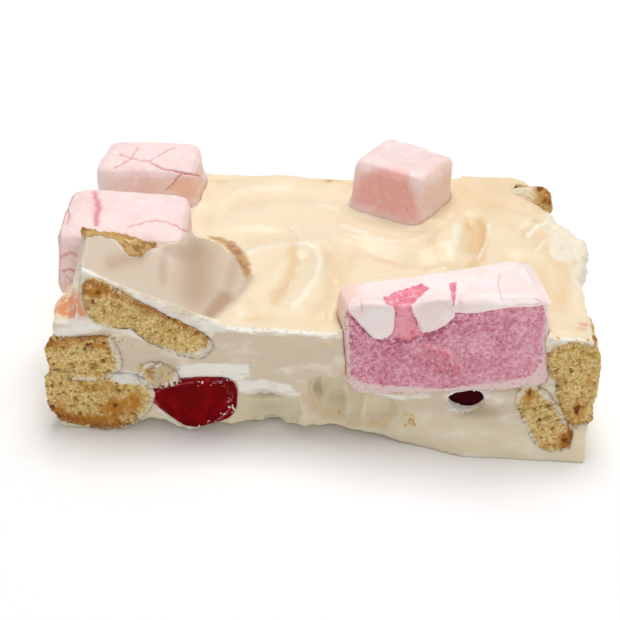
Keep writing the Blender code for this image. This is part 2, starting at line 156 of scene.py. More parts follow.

# Pale crests and painted highlights of the top, in pixels: points, width and strength
PALE_CRESTS_AND_HIGHLIGHTS = (
    (((250, 254), (262, 249), (278, 246), (292, 245), (305, 246), (316, 252), (320, 263), (316, 278),
      (306, 295), (294, 308)), 4.5, 0.9),
    (((222, 208), (228, 200), (242, 192), (267, 186), (292, 184)), 5.0, 0.6),
    (((292, 229), (300, 237)), 2.5, 0.9),
    (((318, 206), (336, 210)), 3.0, 0.7),
    (((342, 226), (358, 231), (378, 240), (398, 242)), 4.0, 0.8),
    (((344, 236), (372, 240)), 2.0, 0.8),
    (((405, 243), (424, 238), (440, 228), (452, 216)), 4.0, 0.6),
    (((457, 229), (456, 241), (452, 252)), 7.5, 1.0),
    (((489, 226), (486, 244), (478, 260)), 2.5, 0.9),
    (((404, 274), (416, 270)), 2.5, 0.7),
    (((430, 272), (446, 269)), 2.5, 0.8),
    (((330, 292), (372, 282), (416, 275)), 3.0, 0.5),
    (((528, 238), (536, 229), (548, 222)), 3.5, 1.0),
    (((536, 250), (548, 240), (556, 232)), 3.0, 0.9),
    (((520, 228), (530, 220)), 3.0, 0.7),
    (((298, 268), (294, 279), (288, 290)), 1.8, 0.9),
    (((329, 318), (331, 311), (336, 305)), 2.2, 0.8),
)

# Other marks on the block, in pixels
YELLOW_SPOTS = (((326, 344), (8, 3), 0.9), ((252, 319), (12, 3), 0.7), ((222, 181), (18, 3), 0.7),
                ((332, 181), (16, 3), 0.8), ((352, 185), (7, 5), 0.6), ((240, 180), (22, 4), 0.5),
                ((548, 236), (9, 4), 0.5), ((574, 262), (6, 6), 0.6))
BROWN_SPOTS = (((411, 421), (4, 3.4), 1.0), ((402, 411), (7, 5), 0.28), ((340, 411), (1.6, 1.6), 1.0),
               ((330, 181), (9, 1.6), 0.7), ((262, 388), (4, 1.6), 0.35))
PINK_SPOTS = (((583, 326), (8, 5), 0.65), ((341, 313), (8, 11), 0.45), ((552, 340), (6, 12), 0.25))
WHITE_PATCHES = (
    ((106, 377), (120, 370), (147, 371), (148, 382), (120, 384)),
    ((176, 366), (205, 362), (248, 364), (252, 376), (238, 380), (205, 383), (178, 384)),
    ((236, 381), (262, 378), (290, 384), (303, 396), (290, 398), (270, 393), (250, 395), (238, 392)),
    ((444, 396), (452, 389), (480, 390), (490, 396), (482, 403), (468, 412), (450, 410)),
    ((345, 328), (354, 330), (355, 372), (368, 384), (360, 386), (346, 372)),
)
WHITE_LINES = (
    (((48, 333), (80, 330), (112, 324), (150, 338)), 6.0, 1.0),
    (((205, 328), (270, 331), (345, 336)), 3.6, 1.0),
    (((330, 374), (352, 383), (375, 393), (395, 397), (430, 396)), 3.4, 0.8),
    (((150, 400), (170, 420), (190, 435), (206, 425), (236, 404)), 3.2, 0.9),
    (((356, 376), (372, 386), (400, 391), (450, 392), (500, 388), (540, 380)), 2.6, 0.8),
    (((545, 300), (550, 335), (546, 378)), 3.0, 0.5),
    (((96, 268), (150, 286), (208, 320)), 2.6, 0.6),
    (((212, 322), (228, 306), (243, 288), (252, 270), (246, 252)), 1.6, 0.55),
    # Painted light along the foot of the right hollow
    (((314, 414), (345, 420), (385, 419)), 5.0, 0.6),
    (((498, 400), (522, 398), (538, 390)), 6.0, 0.5),
)
COAT_RIM = ((80, 266), (92, 271), (115, 282), (150, 297), (185, 311), (219, 319), (214, 336),
            (207, 340), (163, 325), (138, 309), (106, 292), (80, 284))
CORNER_RIDGE = (((-32.5, -16.3), (-30.0, -15.9), (-27.0, -15.3), (-25.9, -12.4)), 1.7, 1.9)
BARE_RIDGE = ((76, 232), (84, 223), (97, 220), (108, 225), (122, 227), (136, 230), (148, 236),
              (158, 247), (147, 251), (141, 257), (131, 257), (122, 248), (115, 239), (100, 236),
              (84, 237))
BROWN_ARC = ((208, 236), (222, 237.5), (235, 243), (244, 251), (250, 262), (252, 272), (247, 279),
             (242, 276), (240, 267), (233, 256), (223, 246), (212, 240))
ORANGE_SMEAR = ((54, 312), (60, 298), (72, 288), (80, 293), (82, 306), (98, 316), (84, 319), (66, 318))
# Darker places of the coat, in pixels: biscuit showing through, and painted shade under the bare ridge and
# toward the lower right
COAT_SHADE = ((((112, 262), (138, 256)), 12, 0.6), (((163, 250), (163, 282)), 7, 0.5),
              (((200, 255), (196, 290)), 26, 0.62), (((212, 314), (224, 298)), 11, 0.9),
              (((236, 262), (226, 292)), 10, 0.45))
LEFT_HOLLOW = ((237, 396), (246, 391), (262, 389), (284, 393), (298, 400), (302, 414), (296, 424),
               (262, 421), (238, 420))
RIGHT_HOLLOW = ((306, 398), (308, 386), (315, 377), (328, 374), (340, 377), (352, 385), (372, 395),
                (392, 400), (398, 412), (384, 426), (350, 424), (318, 416))
HOLLOW_SHADE = (((268, 393), (24, 6), 1.0), ((268, 406), (26, 9), 0.5), ((317, 388), (12, 13), 0.8),
                ((338, 397), (14, 9), 0.6), ((478, 411), (28, 8), 1.0))
HOLLOW_FOLDS = (((322, 380), (324, 398), (322, 414)), ((344, 388), (348, 402), (346, 416)),
                ((366, 400), (362, 418)))

# Cracks in the marshmallow skins, in pixels: points, half width and strength
CRACKS = {
    "marshmallow_back_left": (
        (((120, 154), (127, 157), (133, 158), (148, 161), (163, 169), (176, 172), (199, 176)), 0.8, 1.0),
        (((148, 161), (160, 154), (175, 147)), 0.7, 0.8),
        (((133, 158), (122, 164), (114, 168)), 0.7, 0.7),
        (((182, 174), (173, 183), (166, 189)), 0.7, 0.8),
        (((133, 158), (134, 152), (138, 148)), 0.9, 0.6),
    ),
    "marshmallow_front_left": (
        (((94, 193), (97, 201), (98.5, 208), (96, 214), (96, 223)), 2.8, 1.0),
        (((128, 226), (136, 224), (146, 222), (156, 220), (168, 222), (178, 227), (187, 232)), 0.7, 0.9),
        (((66, 206), (69, 216), (66, 224)), 1.2, 0.6),
        (((61, 256), (70, 253), (79, 255)), 1.4, 0.7),
        (((62, 271), (70, 269), (76, 272), (79, 266)), 1.2, 0.8),
        (((66, 276), (71, 281)), 1.0, 0.6),
    ),
    "marshmallow_back_right": (
        (((375, 160), (383, 150), (396, 144), (414, 143)), 0.8, -0.7),
        (((411, 172), (414, 196), (424, 214)), 2.6, -0.3),
    ),
    "marshmallow_cut": (
        (((500, 274), (498, 284), (502, 300)), 0.7, 0.6),
        (((361, 299), (362, 311)), 0.7, 0.6),
    ),
}

# Marks on the back marshmallows' skins, in pixels: a salmon patch on the back right one's front, partly
# painted shade, and peach stains on the back left one
SALMON_SHADE = ((351, 204), (354, 186), (362, 176), (378, 168), (396, 166), (410, 172), (417, 196),
           (422, 226), (400, 220))
PEACH_STAIN = ((176, 176), (204, 178), (203, 196), (190, 200), (168, 188))
PEACH_EDGE = ((110, 184), (140, 190), (170, 194))

# Marks of the cut marshmallow, in pixels
TORN_ZONE = ((386, 304), (383, 298), (398, 291), (422, 283), (430, 288), (411, 305), (417, 318),
             (422, 333), (408, 342), (394, 336), (394, 318))
TORN_SLIT = ((449, 283), (456, 281), (457, 300), (453, 311), (451, 300))
# A spot of painted light in the middle of the torn foam
TORN_PAINTED_LIGHT = (((404, 320), (13, 18), 1.3),)
FOAM_SHADE = (((398, 358), (30, 18), 0.45),)
# Lines of painted shadow in the foam, under the skin sheets' lower edges
FOAM_SHADOW_UNDER_SHEETS = ((((454, 314), (500, 307), (545, 300)), 4.0, 1.0),
            (((352, 318), (378, 340), (430, 336), (454, 318)), 5.0, 1.0))
FOAM_TEARS = ((((424, 346), (438, 350), (450, 360), (458, 374)), 3.2, 1.0),
              (((418, 356), (432, 362), (444, 372)), 2.0, 1.0),
              (((356, 316), (366, 330), (378, 338)), 2.6, 1.0))
FOAM_RIM = ((338, 306), (342, 345), (348, 386), (362, 393), (430, 396), (500, 392), (547, 382),
            (551, 340), (553, 306))
FOAM_PALE = (((434, 344), (450, 352), (462, 366)), 3.0)

# Sheets of torn skin over the cut marshmallow, in pixels
SKIN_SHEETS = (
    ((347, 308), (352, 299), (359, 296), (367, 297), (376, 297), (382, 298), (386, 304), (393, 307),
     (395, 311), (394, 318), (394, 327), (390, 332), (388, 336), (382, 337), (377, 338), (369, 330),
     (361, 324), (354, 314)),
    ((411, 305), (418, 300), (425, 292), (431, 289), (440, 287), (449, 284), (451, 296), (454, 310),
     (454, 316), (445, 324), (437, 329), (429, 330), (423, 332), (421, 324), (416, 316)),
    ((452, 312), (455, 300), (457, 281), (466, 276), (484, 271), (500, 267), (519, 262), (530, 265),
     (540, 280), (551, 303), (548, 305), (540, 302), (531, 304), (520, 303), (511, 306), (500, 305),
     (490, 310), (482, 311), (470, 310), (462, 313)),
)

# Browned parts of the biscuits, in pixels: points and width
CRUSTS = {
    "biscuit_corner_upper": (((46, 342), (78, 339), (110, 337)), 6.5),
    "biscuit_corner_lower": (((44, 404), (58, 413), (82, 422), (104, 427), (126, 423)), 8),
    "biscuit_leaning": (
        ((84, 290), (86, 281), (98, 284), (120, 296), (152, 310), (182, 325), (208, 338)), 6,
    ),
    "biscuit_right_tall": (((545, 338), (566, 337), (596, 339)), 5),
    "biscuit_right_low": (((570, 424), (572, 436), (564, 448)), 8),
    "biscuit_back_right": (((530, 180), (540, 186), (548, 200)), 11),
    "biscuit_crumb": (((148, 370), (160, 366)), 3),
}
DARK_SPOTS = {
    "biscuit_corner_lower": (((115, 405), (5, 5)), ((53, 407), (5, 4)), ((52, 385), (3, 4)),
                             ((88, 397), (3, 2))),
    "biscuit_leaning": (((98, 292), (6, 4)), ((92, 302), (4, 5))),
    "biscuit_right_tall": (((549, 344), (5, 4)), ((577, 410), (5, 8)), ((571, 372), (4, 3))),
    "biscuit_right_low": (((529, 393), (4, 6)), ((540, 420), (4, 4)), ((566, 440), (6, 5))),
    "biscuit_back_right": (((540, 188), (6, 5)),),
    "biscuit_corner_upper": (((88, 345), (8, 3)), ((104, 343), (5, 3))),
}

# Warm toasted parts of the biscuits, in pixels: centre, half widths and strength
TOASTED = (
    ((116, 406), (18, 9), 1.0), ((58, 408), (10, 8), 0.7), ((134, 402), (7, 12), 0.9),
    ((92, 420), (32, 6), 1.0), ((66, 374), (9, 4), 0.6), ((100, 388), (20, 6), 0.6),
    ((60, 345), (16, 4), 0.8), ((100, 345), (14, 4), 0.8), ((98, 292), (12, 8), 0.9),
    ((140, 302), (26, 5), 0.5), ((190, 326), (16, 6), 0.5), ((549, 350), (6, 10), 0.9),
    ((578, 414), (8, 16), 0.65), ((590, 384), (5, 10), 0.5), ((570, 341), (24, 4), 0.8),
    ((529, 396), (5, 10), 0.9), ((566, 442), (10, 9), 0.9), ((546, 446), (10, 5), 0.6),
)

# What the knife's chocolate smear leaves bare, in pixels: each biscuit's cut face, and the foam
BISCUIT_SHOWN = {
    "biscuit_corner_upper": ((38, 334), (108, 334), (109, 346), (113, 354), (116, 362), (112, 376),
                             (38, 382)),
    "biscuit_corner_lower": ((38, 362), (104, 366), (109, 377), (122, 384), (140, 385), (146, 390),
                             (151, 400), (146, 411), (133, 422), (118, 432), (38, 432)),
    "biscuit_leaning": ((76, 276), (100, 280), (140, 302), (170, 316), (195, 327), (209, 338),
                        (206, 347), (190, 353), (175, 351), (157, 345), (140, 340), (127, 331),
                        (107, 327), (88, 321), (76, 300)),
    "biscuit_crumb": ((143, 369), (150, 365.5), (165, 365.5), (175, 370), (172, 380), (160, 388),
                      (143, 388)),
    "biscuit_right_low": ((526, 389), (536, 388), (542, 399), (552, 404), (562, 420), (580, 440),
                          (580, 450), (562, 456), (543, 455), (528, 428), (516, 406)),
}
FOAM_SHOWN = ((340, 296), (351, 322), (352, 374), (362, 381), (380, 384), (445, 387), (495, 382),
              (530, 375), (540, 362), (542, 322), (556, 300), (450, 276))

# Loose bits on the cut face, in pixels: where they lie, how many, and their size in millimetres
CHIP_FIELDS = (
    (((168, 380), (190, 380), (232, 374), (236, 384), (206, 388), (172, 388)), 10, (0.1, 0.3)),
    (((224, 376), (238, 378), (239, 398), (232, 400)), 5, (0.1, 0.26)),
    (((236, 380), (262, 378), (298, 392), (290, 398), (256, 392)), 40, (0.12, 0.42)),
    (((444, 388), (474, 386), (492, 392), (488, 398), (446, 394)), 30, (0.12, 0.45)),
    (((443, 402), (468, 405), (462, 414), (446, 410)), 26, (0.12, 0.42)),
    (((346, 330), (354, 330), (356, 374), (348, 370)), 24, (0.1, 0.3)),
    (((332, 374), (396, 396), (392, 400), (334, 380)), 40, (0.1, 0.32)),
    (((205, 325), (345, 332), (345, 337), (205, 331)), 40, (0.1, 0.3)),
    (((108, 372), (146, 370), (147, 382), (110, 383)), 26, (0.12, 0.45)),
    (((150, 400), (188, 432), (236, 402), (236, 412), (188, 438), (150, 408)), 30, (0.12, 0.35)),
)
CRUMB_FIELDS = (
    (((140, 366), (178, 368), (180, 384), (142, 384)), 16, (0.25, 0.6)),
    (((100, 330), (140, 342), (136, 352), (104, 346)), 10, (0.15, 0.4)),
    (((544, 336), (596, 338), (596, 346), (544, 344)), 8, (0.2, 0.45)),
    (((404, 414), (416, 416), (416, 428), (404, 426)), 6, (0.3, 0.7)),
)

# The cherry's pale rim, its scratched top edge and its dusty places, in pixels
CHERRY_RIM = (
    (((151, 396), (158, 407), (167, 416), (178, 426), (190, 430)), 2.2, 0.9),
    (((190, 430), (206, 427), (222, 417), (231, 407)), 1.4, 0.7),
    (((151, 394), (168, 387), (190, 382), (214, 380)), 1.6, 0.6),
)

CHERRY_DUST = (((222, 382), (16, 6), 1.0), ((229, 398), (6, 16), 1.0), ((188, 384), (26, 3), 0.7))

# Colours that the shaders mix with those of the panel
TINTS = {
    # Pale crests with painted highlights, frost and a duller cut face
    "crest_and_highlight": (0.985, 0.95, 0.875), "frost": (0.955, 0.925, 0.865), "dull_face": (0.86, 0.80, 0.70),
    "yellow_spot": (0.90, 0.76, 0.50), "bare_dark": (0.60, 0.43, 0.21), "bare_light": (0.90, 0.78, 0.55),
    "brown_spot": (0.74, 0.44, 0.20), "skin_cloud": (0.955, 0.825, 0.815),
    # The skin's shade tint is painted shade with some salmon colour; its speckle tint is dust with painted
    # glints
    "skin_dust": (0.99, 0.945, 0.93), "skin_shade": (0.94, 0.705, 0.69),
    "skin_ridge": (0.975, 0.93, 0.92), "skin_speckle_and_glint": (0.985, 0.94, 0.915),
    "foam_light": (0.965, 0.76, 0.81), "shred_light": (0.99, 0.80, 0.84),
    # Dark shreds of the torn foam, painted light in it, and the foam's pale fringe
    "shred_dark": (0.82, 0.32, 0.42), "foam_painted_light": (1.0, 0.70, 0.75), "foam_fringe": (0.95, 0.84, 0.82),
    "sheet": (0.985, 0.885, 0.87), "sheet_light": (0.99, 0.925, 0.915),
    "biscuit_cloud": (0.90, 0.76, 0.47), "grain_dark": (0.77, 0.575, 0.26),
    # Light grain, then painted shade in the biscuit's low places and pores
    "grain_light": (1.0, 0.95, 0.77), "low_grain_shade": (0.70, 0.50, 0.20), "pore": (0.55, 0.38, 0.14),
    "toast": (0.80, 0.55, 0.20), "crust_dark": (0.56, 0.31, 0.11), "burnt": (0.46, 0.25, 0.09),
    "cherry_light": (0.60, 0.01, 0.05), "cherry_rim": (0.85, 0.44, 0.50),
    "cherry_deep": (0.22, 0.0, 0.03), "cherry_dust": (0.88, 0.66, 0.69),
    "flake_shade": (0.93, 0.91, 0.87), "crumb_shade": (0.74, 0.55, 0.32),
}

# The least cosine to the camera at which marks still show
HIDDEN_SIDE = -0.05


def linear(colour):
    """A display colour as the linear colour, with full alpha, that a shader socket takes."""
    channels = [c / 12.92 if c <= 0.04045 else ((c + 0.055) / 1.055) ** 2.4 for c in colour]
    return (*channels, 1.0)


def soft(value, low, high):
    """0 below low and 1 above high, with a smooth rise between."""
    share = np.clip((value - low) / (high - low), 0.0, 1.0)
    return share * share * (3 - 2 * share)


def ripples(points, size, salt=0.0):
    """Soft noise from -1 to 1 with bumps of about that size."""
    places = points / size + np.array((salt, 1.7 * salt, -salt))
    return np.array([noise.noise(place) for place in places.tolist()])


def grains(points, size, salt=0.0):
    """How far the nearest of random centres is, in steps of about that size."""
    places = points / size + np.array((salt, 1.7 * salt, -salt))
    return np.array([noise.voronoi(place)[0][0] for place in places.tolist()])


def seen_at(points):
    """Where points show in the photograph, in pixels across and down."""
    away = points - VIEW_EYE
    depth = -away @ VIEW_BACK
    across = PHOTO_SIDE / 2 + LENS_PX * (away @ VIEW_RIGHT) / depth
    down = PHOTO_SIDE / 2 - LENS_PX * (away @ VIEW_UP) / depth
    return across, down


def nearest_on_line(u, v, line):
    """The nearest points to places (u, v) on a line through points, and how far they are."""
    best = np.full(len(u), np.inf)
    found_u, found_v = u.copy(), v.copy()
    for (start_u, start_v), (end_u, end_v) in zip(line, line[1:]):
        run_u, run_v = end_u - start_u, end_v - start_v
        share = np.clip(((u - start_u) * run_u + (v - start_v) * run_v) / (run_u**2 + run_v**2), 0, 1)
        near_u, near_v = start_u + share * run_u, start_v + share * run_v
        away = np.hypot(u - near_u, v - near_v)
        closer = away < best
        found_u, found_v = np.where(closer, near_u, found_u), np.where(closer, near_v, found_v)
        best = np.minimum(best, away)
    return found_u, found_v, best


def distance_to_line(u, v, line):
    """The distance from places (u, v) to a line through points."""
    return nearest_on_line(u, v, line)[2]


def depth_inside(u, v, outline):
    """How far places (u, v) lie inside an outline, negative outside."""
    closed = (*outline, outline[0])
    away = distance_to_line(u, v, closed)
    inside = np.zeros(len(u), bool)
    for (start_u, start_v), (end_u, end_v) in zip(closed, closed[1:]):
        if start_v == end_v:
            continue
        crossing = start_u + (v - start_v) * (end_u - start_u) / (end_v - start_v)
        inside ^= ((start_v > v) != (end_v > v)) & (u < crossing)
    return np.where(inside, away, -away)


def spot(u, v, centre, half):
    """A soft spot, 1 at its centre."""
    return np.exp(-(((u - centre[0]) / half[0]) ** 2) - ((v - centre[1]) / half[1]) ** 2)


def select_none():
    for thing in bpy.context.selected_objects:
        thing.select_set(False)


def only(piece):
    """Selects that piece alone and makes it active."""
    select_none()
    piece.select_set(True)
    bpy.context.view_layer.objects.active = piece


def link(name, data):
    """A new object in the scene."""
    thing = bpy.data.objects.new(name, data)
    bpy.context.scene.collection.objects.link(thing)
    return thing


def apply_modifier(piece, kind, **settings):
    only(piece)
    modifier = piece.modifiers.new(kind.lower(), kind)
    for name, value in settings.items():
        setattr(modifier, name, value)
    bpy.ops.object.modifier_apply(modifier=modifier.name)


def copy_of(node):
    """A merged copy of a solid, for the piece that stands for it."""
    piece = link(node + "_piece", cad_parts[node].data.copy())
    only(piece)
    bpy.ops.object.mode_set(mode="EDIT")
    bpy.ops.mesh.select_all(action="SELECT")
    bpy.ops.mesh.remove_doubles(threshold=1e-6)
    bpy.ops.object.mode_set(mode="OBJECT")
    bpy.ops.mesh.customdata_custom_splitnormals_clear()
    return piece


def remeshed(node, voxel):
    """A copy of a solid in small even cells."""
    piece = copy_of(node)
    apply_modifier(piece, "REMESH", mode="VOXEL", voxel_size=voxel * MM, use_smooth_shade=True)
    return piece


def finish_piece(piece, node, finish):
    """Gives a piece its finish and its place in the part."""
    piece.data.materials.clear()
    piece.data.materials.append(finish)
    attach(piece, ROOT)
    if node:
        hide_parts(node)


class Skin:
    """A piece's points, normals and edges as arrays, in millimetres."""

    def __init__(self, piece, ragged=1.2):
        self.piece = piece
        mesh = piece.data
        self.points = self.read(mesh.vertices, "co", 3) / MM
        self.edges = self.read(mesh.edges, "vertices", 2, np.int32)
        self.wander = (
            ragged * (ripples(self.points, 1.3, 31.0) + 0.6 * ripples(self.points, 0.6, 37.0)),
            ragged * (ripples(self.points, 1.3, 41.0) + 0.6 * ripples(self.points, 0.6, 43.0)),
        )
        self.measure()

    @staticmethod
    def read(items, name, width, kind=np.float32):
        flat = np.empty(len(items) * width, kind)
        items.foreach_get(name, flat)
        return flat.reshape(-1, width).astype(np.float64 if kind is np.float32 else kind)

    def measure(self):
        """Reads the normals and the places in the photograph again."""
        self.normals = self.read(self.piece.data.vertex_normals, "vector", 3)
        self.u, self.v = (place + shift for place, shift in zip(seen_at(self.points), self.wander))
        self.shown = soft(self.normals @ VIEW_BACK, HIDDEN_SIDE, 0.12)

    def write(self):
        self.piece.data.vertices.foreach_set("co", (self.points * MM).astype(np.float32).ravel())
        self.piece.data.update()
        self.measure()

    def push(self, amounts):
        """Moves each point out along its normal."""
        self.points = self.points + self.normals * np.asarray(amounts)[:, None]
        self.write()

    def shift(self, axis, amounts):
        """Moves each point along one axis."""
        self.points[:, axis] += amounts
        self.write()

    def averaged(self, values, rounds, weight=0.5):
        """Values, one or more a point, evened out along the edges."""
        single = values.ndim == 1
        held = values.reshape(len(values), -1).copy()
        first, second = self.edges.T
        count = len(held)
        degree = np.bincount(first, minlength=count) + np.bincount(second, minlength=count)
        degree = np.maximum(degree, 1)
        share = np.broadcast_to(np.asarray(weight, float), (count,))
        for _ in range(rounds):
            for column in range(held.shape[1]):
                flat = held[:, column]
                total = np.bincount(first, flat[second], count) + np.bincount(second, flat[first], count)
                held[:, column] = flat + share * (total / degree - flat)
        return held[:, 0] if single else held

    def fill(self, sides, front=0.1, surface=CLEAR_Z, hold=0.0, rim=0.0):
        """Swells the piece into its pocket, its cut face's rim sideways, but not where it stands clear."""
        x, y, z = self.points.T
        sides = sides + rim * soft(-y, 28.2, 29.4)
        facing = (soft(-self.normals[:, 1], 0.4, 0.8) * soft(-y, 27.0, 28.5))[:, None]
        clear = np.maximum(soft(z, surface - 1, surface + 1), soft(y, BACK_Y - 3.5, BACK_Y - 2.0))
        clear = np.maximum(clear, soft(np.abs(x), HALF_LENGTH - 0.5, HALF_LENGTH + 0.7))
        out = self.normals * (1 - facing)
        aside = self.averaged(out, 5)
        aside[:, 1] = 0.0
        length = np.linalg.norm(aside, axis=1)[:, None]
        aside *= soft(length, 0.04, 0.3) / np.maximum(length, 1e-6)
        self.points = self.points + (out + aside * facing) * (sides * (1 - clear) * (1 - hold))[:, None]
        self.points[:, 1] -= front * facing[:, 0]
        self.write()

    def relax(self, rounds, weight=0.5):
        """Smooths the shape, by a weight for each point."""
        self.points = self.averaged(self.points, rounds, weight)
        self.write()

    def paint(self, **masks):
        """Keeps masks from 0 to 1 on the mesh, for the shader."""
        for name, values in masks.items():
            layer = self.piece.data.attributes.new(name, "FLOAT", "POINT")
            layer.data.foreach_set("value", np.clip(values, 0.0, 1.0).astype(np.float32))

    def near(self, line, width):
        """A soft line in the photograph's pixels, on the side that shows."""
        return np.exp(-((distance_to_line(self.u, self.v, line) / width) ** 2)) * self.shown

    def lines(self, marks):
        """The strongest of soft lines, each given by its points, width and strength."""
        total = np.zeros(len(self.u))
        for line, width, strength in marks:
            total = np.maximum(total, strength * self.near(line, width))
        return total

    def patch(self, outline, softness):
        """A soft-edged patch in the photograph's pixels, on the side that shows."""
        return soft(depth_inside(self.u, self.v, outline), -softness, softness) * self.shown

    def spots(self, marks):
        """The strongest of soft spots, each given by its centre, half widths and strength."""
        total = np.zeros(len(self.u))
        for centre, half, strength in marks:
            total = np.maximum(total, strength * spot(self.u, self.v, centre, half))
        return total * self.shown


class Value:
    """One output of a shader node. Sums and products with it add Math nodes."""

    def __init__(self, shader, socket):
        self.shader = shader
        self.socket = socket

    def math(self, operation, first, second):
        return self.shader.node("ShaderNodeMath", {0: first, 1: second}, operation=operation)

    def __add__(self, other):
        return self.math("ADD", self, other)

    def __sub__(self, other):
        return self.math("SUBTRACT", self, other)

    def __rsub__(self, other):
        return self.math("SUBTRACT", other, self)

    def __mul__(self, other):
        return self.math("MULTIPLY", self, other)

    __radd__ = __add__
    __rmul__ = __mul__


class Shader:
    """A material under construction."""

    def __init__(self, name):
        self.material = bpy.data.materials.new(name)
        self.material.use_nodes = True
        self.tree = self.material.node_tree
        self.tree.nodes.clear()
        self.coordinates = self.node("ShaderNodeTexCoord", output="Object")

    def node(self, kind, inputs=None, output=0, **settings):
        """Adds a node, sets it up and returns one of its outputs."""
        made = self.tree.nodes.new(kind)
        for name, value in settings.items():
            setattr(made, name, value)
        for key, value in (inputs or {}).items():
            if isinstance(value, Value):
                self.tree.links.new(value.socket, made.inputs[key])
            else:
                made.inputs[key].default_value = value
        return Value(self, made.outputs[output])

    def mask(self, name):
        return self.node("ShaderNodeAttribute", output="Fac", attribute_name=name)

    def clouds(self, size, detail=3.0, roughness=0.55, stretch=None):
        """Noise from 0 to 1 with clouds of that size in millimetres."""
        place = self.coordinates
        if stretch:
            place = self.node("ShaderNodeMapping", {"Vector": place, "Scale": stretch})
        inputs = {"Vector": place, "Scale": 1 / (size * MM), "Detail": detail, "Roughness": roughness}
        return self.node("ShaderNodeTexNoise", inputs, output="Fac")

    def cells(self, size):
        """How far the nearest of random centres is, in steps of about that size in millimetres."""
        inputs = {"Vector": self.coordinates, "Scale": 1 / (size * MM)}
        return self.node("ShaderNodeTexVoronoi", inputs, output="Distance", feature="F1")

    def step(self, value, low, high):
        """0 below low and 1 above high, with a smooth rise between."""
        inputs = {"Value": value, "From Min": low, "From Max": high}
        return self.node("ShaderNodeMapRange", inputs, interpolation_type="SMOOTHSTEP")

    def ragged(self, name, low, high, *noises):
        """A painted mask, its edge broken up by noises, each with its strength."""
        value = self.mask(name)
        for cloud, strength in noises:
            value = value + (cloud - 0.5) * strength
        return self.step(value, low, high)

    def blend(self, base, colour, mask):
        """The base with a colour or a named tint laid over it where the mask is 1."""
        inputs = {0: mask}
        for key, side in ((6, base), (7, colour)):
            if isinstance(side, str):
                side = TINTS[side]
            inputs[key] = side if isinstance(side, Value) else linear(side)
        return self.node("ShaderNodeMix", inputs, output=2, data_type="RGBA")

    def layers(self, base, *coats):
        """The base with each coat, a colour and its mask, laid over it in turn."""
        for colour, mask in coats:
            base = self.blend(base, colour, mask)
        return base

    def finish(self, colour, roughness, height=None, relief=0.0, scatter=None, **constants):
        """Closes the material. Relief is the bump's depth, scatter a weight, three shares and a depth."""
        inputs = {"Base Color": colour, "Roughness": roughness}
        if scatter:
            weight, shares, depth = scatter
            inputs["Subsurface Weight"] = weight
            inputs["Subsurface Radius"] = shares
            inputs["Subsurface Scale"] = depth * MM
        if height is not None:
            bump = {"Height": height, "Distance": relief * MM, "Strength": 1.0}
            inputs["Normal"] = self.node("ShaderNodeBump", bump)
        inputs.update({name.replace("_", " "): value for name, value in constants.items()})
        surface = self.node("ShaderNodeBsdfPrincipled", inputs)
        output = self.tree.nodes.new("ShaderNodeOutputMaterial")
        self.tree.links.new(surface.socket, output.inputs["Surface"])
        return self.material


def colour_property(name, description, default):
    return bpy.props.FloatVectorProperty(
        name=name, description=description, default=default, subtype="COLOR_GAMMA", size=3, min=0.0, max=1.0
    )


def amount_property(name, description, default, least, most):
    return bpy.props.FloatProperty(name=name, description=description, default=default, min=least, max=most)


